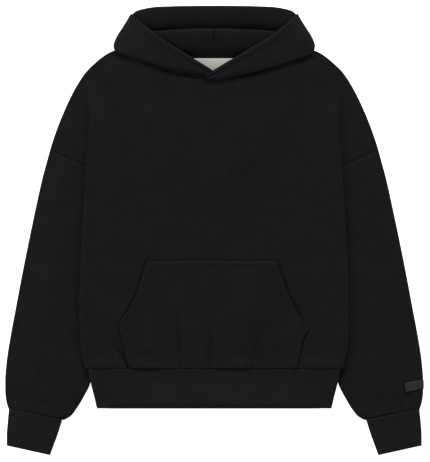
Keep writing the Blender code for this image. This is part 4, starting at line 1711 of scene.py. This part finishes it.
@dataclass
class HoodHalf:
    """Half of the hood: its bag behind the back, nape, far band and turned-out front."""

    name: str
    side: float
    form: LaidForm
    lobe: tuple[LobeRow, ...]
    seed: float
    rim_hem: float = 3.4
    roll: float = 5.0  # the most that the rolled edge's radius comes to
    lip: float = 0.8
    crest: float = 4.2  # from the rim to the top of its hem
    clearance: float = 0.8  # over the front panel
    front_margins: Pair = (8.0, 9.0)  # past its outline and past its neckline
    foot_reach: float = 124.0
    foot_fade: float = 24.0
    bag_pitch: float = 4.0
    lobe_pitch: float = 3.6

    def bag_section(self, row: BagRow) -> list[Pair]:
        """A closed section of bag, nape, fold and far band.

        Args:
            row: its sizes.

        Returns:
            Points of y and z.
        """
        lift, thick = self.form.bag_lift, self.form.bag_thickness
        round_off = min(5.0, (row.neck - row.bottom) / 2.5)
        far, band = row.fold_z, row.band_z
        near = min(lift + FLEECE + 1.2, far - 0.5)
        depth = row.fold - row.neck
        bag = [
            (row.bottom, 0.0),
            (row.bottom, 2.2),
            (row.bottom + round_off, thick - 0.6),
            (row.bottom + 2.0 * round_off, thick),
            (row.neck + 0.1, thick),
        ]
        nape = [
            (row.neck + 0.3, near - 0.8),
            (row.neck + 0.04 * depth, near),
            (row.neck + 0.2 * depth, mix(near, far, 0.34)),
            (row.neck + 0.45 * depth, mix(near, far, 0.66)),
            (row.neck + 0.75 * depth, mix(near, far, 0.92)),
            (row.fold - 2.0, far),
            (row.fold - 0.1, far - 2.0),
            (row.fold + 0.2, mix(FLEECE, far, 0.4)),
        ]
        far_band = [
            (row.fold + 1.0, FLEECE + 0.4),
            (mix(row.fold, row.top, 0.14), mix(FLEECE, band, 0.36)),
            (mix(row.fold, row.top, 0.36), mix(FLEECE, band, 0.7)),
            (mix(row.fold, row.top, 0.64), mix(FLEECE, band, 0.92)),
            (row.top - 4.5, band + 0.5),
            (row.top - 1.0, band - 0.8),
            (row.top, 0.45 * band),
            (row.top - 0.2, 0.9),
            (row.top - 1.4, 0.0),
        ]
        return bag + nape + far_band

    def bag_grid(self) -> np.ndarray:
        """The part on the table, as closed sections along Y.

        Returns:
            A grid of points whose rows are closed.
        """
        sections = []
        for row in BAG_ROWS:
            sections.append([(self.side * row.x, y, z) for y, z in self.bag_section(row)])
        return self.dense(np.array(sections), self.bag_pitch)

    @staticmethod
    def dense(sections: np.ndarray, pitch: float) -> np.ndarray:
        """Closed sections drawn finely, around and along.

        Args:
            sections: an array of sections, points and x, y, z.
            pitch: about how far apart the points come out.

        Returns:
            A grid of points whose rows are closed.
        """
        wrap = np.concatenate([sections, sections[:, :1]], axis=1)
        around = np.linalg.norm(np.diff(wrap, axis=1), axis=2).mean(axis=0)
        steps = [max(2, min(24, math.ceil(length / pitch))) for length in around]
        fine = np.array([through(section, steps, closed=True) for section in sections])
        return lengthwise(fine, pitch, 2)

    def neck_y(self, x: float) -> float:
        """The front's neckline as it is cut."""
        return self.form.neck_line(abs(x))

    def floor(self, x: float, y: float, free: float) -> float:
        """The lowest that the turned-out front may reach.

        Args:
            x: the point's x.
            y: the point's y.
            free: its height away from the front panel.

        Returns:
            That height, or one that clears the front panel.
        """
        out, up = self.front_margins
        if abs(x) < self.form.shoulder(y) + out and y < self.neck_y(x) + up:
            return max(free, self.form.top(x, y) + FLEECE / 2.0 + self.clearance)
        return free

    def lobe_section(self, row: LobeRow) -> list[Point]:
        """A closed section of the turned-out front: rim, outside, roll, foot and underside.

        Args:
            row: its sizes.

        Returns:
            Points of x, y and z.
        """
        width = math.hypot(row.edge_x - row.rim_x, row.edge_y - row.rim_y)
        roll = min((row.top_z - row.edge_z) / 2.0, self.roll)
        curl = min(roll / width, 0.35)
        lip = min(self.lip / width, 0.1)

        def at(share: float) -> Pair:
            """A place between the rim and the rolled edge."""
            return mix(row.rim_x, row.edge_x, share), mix(row.rim_y, row.edge_y, share)

        foot_y = self.neck_y(row.edge_x) + SEAM_GAP
        foot_low = PANEL_LAYER + self.form.bag_lift - FLEECE / 2.0 + 0.6 * self.form.neck_rise
        foot = smooth((self.foot_reach - abs(row.edge_x)) / self.foot_fade)
        foot *= smooth((row.edge_y - foot_y + 2.0) / 2.0)
        low = self.floor(*at(1.0 - curl), mix(row.edge_z, foot_low + FLEECE + 3.4, foot))
        top = row.top_z
        height = top - low
        rim_top = row.rim_z + min(self.rim_hem, top - row.edge_z)
        crest = min(self.crest / width, 0.25)
        outside = [
            (0.0, rim_top - 3.0),
            (lip, rim_top - 2.1),
            (crest, rim_top + 1.6),
            (mix(crest, 1.0, 0.22), mix(rim_top, top, 0.2) - 0.5),
            (mix(crest, 1.0, 0.55), mix(rim_top, top, 0.5) + 0.1),
            (mix(crest, 1.0 - curl, 0.85), mix(rim_top, top, 0.85) + 0.5),
            (1.0 - curl, top - 0.7),
            (1.0 - 0.3 * curl, top - 0.24 * height),
            (1.0, low + 0.4 * height),
            (1.0 - 0.3 * curl, low + 0.12 * height),
        ]
        section = [(*at(share), z) for share, z in outside]
        for share, free_z, foot_rise, foot_z in (
            (1.0 - 0.7 * curl, low + 0.05 * height, 8.0, foot_low + FLEECE + 2.6),
            (1.0 - 0.8 * curl, low + 0.04 * height, 2.4, foot_low + FLEECE + 1.1),
            (1.0 - 0.95 * curl, low + 0.02 * height, 0.4, foot_low + FLEECE - 0.6),
            (1.0 - curl, low, 0.0, foot_low),
        ):
            x, y = at(share)
            rise = foot_rise + max(row.edge_y - foot_y, 0.0) * (foot_rise > 3.0)
            foot_at = (row.edge_x, foot_y + rise)
            point = (mix(x, foot_at[0], foot), mix(y, foot_at[1], foot), mix(free_z, foot_z, foot))
            section.append(point)
        low = mix(low, foot_low, foot)
        for share, rise in ((0.72, 0.2), (0.54, 0.4), (0.36, 0.7), (0.18, 0.9)):
            section.append((*at(share), self.floor(*at(share), mix(low, row.rim_z, rise))))
        section.append((*at(lip), row.rim_z))
        section.append((*at(0.0), row.rim_z + 0.7))
        return section

    def lobe_grid(self) -> np.ndarray:
        """The turned-out front, with the slight rise and fall of hand-smoothed cloth.

        Returns:
            A grid of points whose rows are closed.
        """
        sections = np.array([self.lobe_section(row) for row in self.lobe])
        grid = self.dense(sections, self.lobe_pitch)
        lowest = grid[:, :, 2].min(axis=1, keepdims=True)
        highest = grid[:, :, 2].max(axis=1, keepdims=True)
        share = np.clip((grid[:, :, 2] - lowest) / np.maximum(highest - lowest, 1e-6), 0.0, 1.0)
        for row in range(len(grid)):
            for column in range(grid.shape[1]):
                x, y, _ = grid[row, column]
                upper = smooth((share[row, column] - 0.55) / 0.3)
                grid[row, column, 2] += 0.9 * unevenness(1.4 * x, 1.4 * y, self.seed) * upper
        return grid

    def build(self) -> bpy.types.Object:
        """Makes the half."""
        name, grids = self.name + "_cloth", [self.bag_grid(), self.lobe_grid()]
        return cloth_mesh(name, self.name, grids, COTTON_FLEECE, closed=True, caps=True)


@dataclass
class Pocket:
    """The kangaroo pocket, laid on the front and sewn along its top, sides and hem."""

    front: FrontPanel
    lift: float = FLEECE + SEAM_GAP + 0.2
    dips: tuple[Swell, Swell] = (Swell(-0.55, 7.0, 1.5), Swell(-0.55, 13.5, 1.5))
    puffs: tuple[Swell, Swell] = (Swell(0.8, 3.6, 2.6), Swell(0.35, 10.2, 2.2))
    mouth: Swell = Swell(0.9, 0.0, 16.0)  # how far the opening stands off the front
    mouth_ends: Pair = (12.0, 14.0)  # how it fades at the corner and the top
    top_puff: Swell = Swell(0.8, 5.0, 4.0)
    single_inset: float = 2.6  # the one row inside the top and the sides
    stitch_step: float = 3.0
    stitch_end: float = 3.0  # how far from the top and the hem the rows stop
    corner_drop: float = 4.0  # how far under the corner an opening's rows turn to the side's
    edge_share: float = 0.075  # share of the width, on each side, that is meshed finely
    edge_pitch: float = 0.0036
    middle_pitch: float = 0.0095
    row_pitch: float = 2.4

    def surface(self, x: float, y: float) -> float:
        """Middle of the pocket's cloth: the front's form moved out, puffed at the edges.

        Args:
            x: the point's x.
            y: the point's y.

        Returns:
            Its height over the table.
        """
        cut = self.front.pocket
        inset = cut.inside(x, y)
        low, high = self.mouth_ends
        at_opening = smooth((y - cut.corner(x) + low / 2.0) / low) * smooth((cut.top - y) / high)
        hem = sum(dip.at(inset) for dip in self.dips) + sum(puff.at(inset) for puff in self.puffs)
        mouth = (hem + self.mouth.at(inset)) * at_opening
        level = self.front.surface(x, y) - cut.groove(x, y)
        return level + self.lift + mouth + self.top_puff.at(cut.top - y)

    def grid(self) -> np.ndarray:
        """The pocket's rows, from its top down to the hem.

        Returns:
            A grid of points.
        """
        cut, edge = self.front.pocket, self.edge_share
        places = levels((0.0, edge), self.edge_pitch)
        places += levels((edge, 1.0 - edge), self.middle_pitch)[1:]
        places += levels((1.0 - edge, 1.0), self.edge_pitch)[1:]
        rows = []
        stops = (cut.top, cut.right_corner, cut.left_corner, cut.bottom)
        for y in levels(stops, self.row_pitch):
            left, right = cut.left_edge(y), cut.right_edge(y)
            points = []
            for place in places:
                x = mix(right, left, place)
                points.append((x, y, self.surface(x, y)))
            rows.append(points)
        return np.array(rows)

    def build(self) -> bpy.types.Object:
        """Makes the pocket."""
        grids = [self.grid()]
        return cloth_mesh("pocket_cloth", "pocket", grids, COTTON_FLEECE, thickness=FLEECE)

    def sew(self, lines: StitchLines) -> None:
        """Twin rows inside each opening, and one row inside the top and the sides.

        Args:
            lines: takes the rows.
        """
        cut, step, single = self.front.pocket, self.stitch_step, self.single_inset
        halves = ((cut.left_edge, -1.0, cut.left_corner), (cut.right_edge, 1.0, cut.right_corner))
        for edge, inward, corner in halves:
            for inset in (dip.place for dip in self.dips):
                low = corner - self.corner_drop + 0.3 * inset
                opening = levels((cut.top - self.stitch_end, low), step)
                self._row(lines, [(edge(y) + inward * inset * 1.13, y) for y in opening])
            side = levels((corner - self.corner_drop, cut.bottom + self.stitch_end), step)
            self._row(lines, [(edge(y) + inward * single, y) for y in side])
        left, right = cut.left_edge(cut.top), cut.right_edge(cut.top)
        ends = (right + self.stitch_end, left - self.stitch_end)
        self._row(lines, [(x, cut.top - single) for x in levels(ends, step)])

    def _row(self, lines: StitchLines, path: list[Pair]) -> None:
        """Sews one row on the pocket's face.

        Args:
            lines: takes the row.
            path: places of x and y, in order.
        """
        points, ups = [], []
        for x, y in path:
            z = self.surface(x, y)
            slope_x = self.surface(x + 0.5, y) - self.surface(x - 0.5, y)
            slope_y = self.surface(x, y + 0.5) - self.surface(x, y - 0.5)
            up = np.array((-slope_x, -slope_y, 1.0))
            up /= np.linalg.norm(up)
            points.append(np.array((x, y, z)) + up * FLEECE / 2.0)
            ups.append(up)
        lines.add(np.array(points), np.array(ups))


@dataclass
class NeckLabel:
    """The plain label inside the back neck, caught in the neck seam."""

    form: LaidForm
    half_width: float = 43.0
    drop: float = 29.0
    steps: int = 24
    pitch: float = 1.6
    wave_height: float = 0.35
    wave: Wave = Wave(1.0, 17.0, 24.0)

    def build(self) -> bpy.types.Object:
        """Makes the label.

        Returns:
            The piece.
        """
        rows = []
        top = self.form.back_neck_y
        for y in levels((top, top - self.drop), self.pitch):
            points = []
            for step in range(self.steps + 1):
                x = mix(-self.half_width, self.half_width, step / self.steps)
                base = TABLE_LAYER + self.form.lift(x, y) + FLEECE / 2.0 + SEAM_GAP
                loose = self.wave_height * (1.0 + self.wave.at(x, y, 2.0))
                points.append((x, y, base + LABEL_CLOTH / 2.0 + loose))
            rows.append(points)
        name, grids = "neck_label_cloth", [np.array(rows)]
        return cloth_mesh(name, "neck_label", grids, SATIN_LABEL, thickness=LABEL_CLOTH)


@dataclass
class SleevePatch:
    """The small moulded patch round the outer fold of the wearer's left sleeve."""

    sleeve: Sleeve
    start: float = 0.785  # share of the sleeve's width where its inner end lies
    first: float = 9.0  # its top and bottom, counted in the sleeve's rings
    last: float = 9.84
    tilt: float = 0.2  # how many rings lower its inner end lies than its outer one
    steps: int = 14
    wrap_steps: int = 8
    pitch: float = 0.07  # in rings
    wrap: float = math.radians(108.0)

    def ring_at(self, place: float) -> Ring:
        """The sleeve's ring at a place between two of them.

        Args:
            place: counted in rings from the armhole.

        Returns:
            The ring.
        """
        index = min(int(place), len(self.sleeve.rings) - 2)
        low, high = self.sleeve.rings[index], self.sleeve.rings[index + 1]
        keys = ("inner_x", "inner_y", "outer_x", "outer_y", "loft", "covered")
        share = place - index
        return Ring(*(mix(getattr(low, key), getattr(high, key), share) for key in keys))

    def point(self, place: float, step: int) -> Point:
        """A point of the patch, counted from its inner end round the fold.

        Args:
            place: which ring it lies on, at the outer fold.
            step: how many steps it is from the inner end.

        Returns:
            Its x, y and z.
        """
        offset = FLEECE / 2.0 + SEAM_GAP + PATCH_RUBBER / 2.0
        radius = FOLD_RADIUS
        on_top = min(step / self.steps, 1.0)
        ring = self.ring_at(place + self.tilt * (1.0 - on_top))
        curl = radius / ring.width
        if step <= self.steps:
            across = mix(self.start, 1.0 - curl, on_top)
            height = 2.0 * radius + ring.loft * ring.swell(across, ring.covered) + offset
        else:
            angle = self.wrap * (step - self.steps) / self.wrap_steps
            across = 1.0 - curl + (radius + offset) / ring.width * math.sin(angle)
            height = radius + (radius + offset) * math.cos(angle)
        x = mix(ring.inner_x, ring.outer_x, across)
        y = mix(ring.inner_y, ring.outer_y, across)
        return x, y, FLEECE / 2.0 + height

    def build(self) -> bpy.types.Object:
        """Makes the patch.

        Returns:
            The piece.
        """
        rows = []
        total = self.steps + self.wrap_steps
        for place in levels((self.first, self.last), self.pitch):
            rows.append([self.point(place, step) for step in range(total + 1)])
        name, grids = "sleeve_patch_rubber", [np.array(rows)]
        return cloth_mesh(name, "sleeve_patch", grids, SILICONE_PATCH, thickness=PATCH_RUBBER)


@dataclass(frozen=True)
class Softbox:
    """A soft area light aimed at the garment, in metres and watts."""

    name: str
    place: Point
    width: float
    height: float
    power: float

    def build(self) -> None:
        """Hangs the light."""
        light = bpy.data.lights.new(self.name, "AREA")
        light.shape = "RECTANGLE"
        light.size = self.width
        light.size_y = self.height
        light.energy = self.power
        lamp = bpy.data.objects.new(self.name, light)
        lamp.location = self.place
        lamp.rotation_euler = (-Vector(self.place)).to_track_quat("-Z", "Y").to_euler()
        bpy.context.scene.collection.objects.link(lamp)


@dataclass
class Studio:
    """White table, soft lights and the camera straight above."""

    view_height: float = 462 * 1.9
    centre: Pair = (1.5, -0.95)
    camera_height: float = 12000.0
    sensor: float = 36.0
    table_reach: float = 6.0  # metres
    table_gap: float = 0.4  # under the garment
    surround: float = 0.3
    lights: tuple[Softbox, ...] = (
        Softbox("hood_end", (0.0, 8.1, 4.8), 6.6, 2.4, 1035.0),
        Softbox("wearers_left", (5.8, 0.4, 2.0), 1.6, 4.8, 145.0),
        Softbox("wearers_right", (-4.2, 0.3, 1.5), 1.0, 3.0, 132.0),
    )

    def table(self) -> None:
        """A white table that takes no part in the object."""
        mesh = bpy.data.meshes.new("table_top")
        reach, depth = self.table_reach, -self.table_gap * MM
        corners = [(-reach, -reach), (reach, -reach), (reach, reach), (-reach, reach)]
        mesh.from_pydata([(x, y, depth) for x, y in corners], [], [[0, 1, 2, 3]])
        material = bpy.data.materials.new("white_paper")
        material.use_nodes = True
        shader = material.node_tree.nodes["Principled BSDF"]
        shader.inputs["Base Color"].default_value = linear("#f4f4f4")
        shader.inputs["Roughness"].default_value = 0.9
        shader.inputs["Specular IOR Level"].default_value = 0.1
        shader.inputs["Emission Color"].default_value = linear("#ffffff")
        shader.inputs["Emission Strength"].default_value = 0.9
        mesh.materials.append(material)
        table = bpy.data.objects.new("table_top", mesh)
        bpy.context.scene.collection.objects.link(table)

    def camera(self) -> None:
        """A long lens straight above, framed on the garment."""
        data = bpy.data.cameras.new("above")
        data.sensor_width = self.sensor
        data.lens = self.sensor * self.camera_height / self.view_height
        data.clip_end = 50.0
        camera = bpy.data.objects.new("above", data)
        camera.location = (self.centre[0] * MM, self.centre[1] * MM, self.camera_height * MM)
        bpy.context.scene.collection.objects.link(camera)
        bpy.context.scene.camera = camera

    def build(self) -> None:
        """Sets up the table, the lights, the surrounding light and the camera."""
        self.table()
        for light in self.lights:
            light.build()
        world = bpy.data.worlds.new("studio")
        world.use_nodes = True
        back = world.node_tree.nodes["Background"]
        back.inputs["Color"].default_value = linear("#ffffff")
        back.inputs["Strength"].default_value = self.surround
        bpy.context.scene.world = world
        bpy.context.scene.view_settings.view_transform = "Standard"
        self.camera()


def main() -> None:
    logging.basicConfig(level=logging.INFO, format="%(name)s: %(message)s")
    form = LaidForm()
    front = FrontPanel(form, PocketCut())
    sleeve_left = Sleeve(
        "sleeve_left",
        side=1.0,
        seed=4.0,
        folds=(
            Fold(360.0, -298.0, 371.0, -334.0, 4.0, -2.6, 0.2),
            Fold(300.0, -60.0, 330.0, -190.0, 15.0, 1.0),
            Fold(262.0, 20.0, 318.0, -40.0, 12.0, -1.0),
            Fold(278.0, -250.0, 330.0, -300.0, 12.0, -1.0),
        ),
    )
    sleeve_right = Sleeve(
        "sleeve_right",
        side=-1.0,
        seed=9.0,
        folds=(
            Fold(292.0, -30.0, 338.0, -150.0, 16.0, 1.0),
            Fold(264.0, -90.0, 320.0, -170.0, 12.0, -1.0),
            Fold(300.0, -262.0, 352.0, -316.0, 11.0, -1.2),
            Fold(330.0, -318.0, 334.0, -342.0, 4.0, -1.0),
        ),
    )
    pocket = Pocket(front)
    makers = {
        "back": BackPanel(form, front),
        "front": front,
        "sleeve_left": sleeve_left,
        "sleeve_right": sleeve_right,
        "cuff_left": Cuff("cuff_left", side=1.0),
        "cuff_right": Cuff("cuff_right", side=-1.0),
        "hem_band": HemBand(form),
        "hood_left": HoodHalf("hood_left", 1.0, form, LEFT_LOBE, seed=21.0),
        "hood_right": HoodHalf("hood_right", -1.0, form, RIGHT_LOBE, seed=24.0),
        "pocket": pocket,
        "neck_label": NeckLabel(form),
        "sleeve_patch": SleevePatch(sleeve_left),
    }
    for name, maker in makers.items():
        maker.build()
    lines = StitchLines("stitches")
    pocket.sew(lines)
    threads = lines.build()
    LOG.info("stitches: %d faces", len(threads.data.polygons))
    Studio().build()


if __name__ == "__main__":
    main()
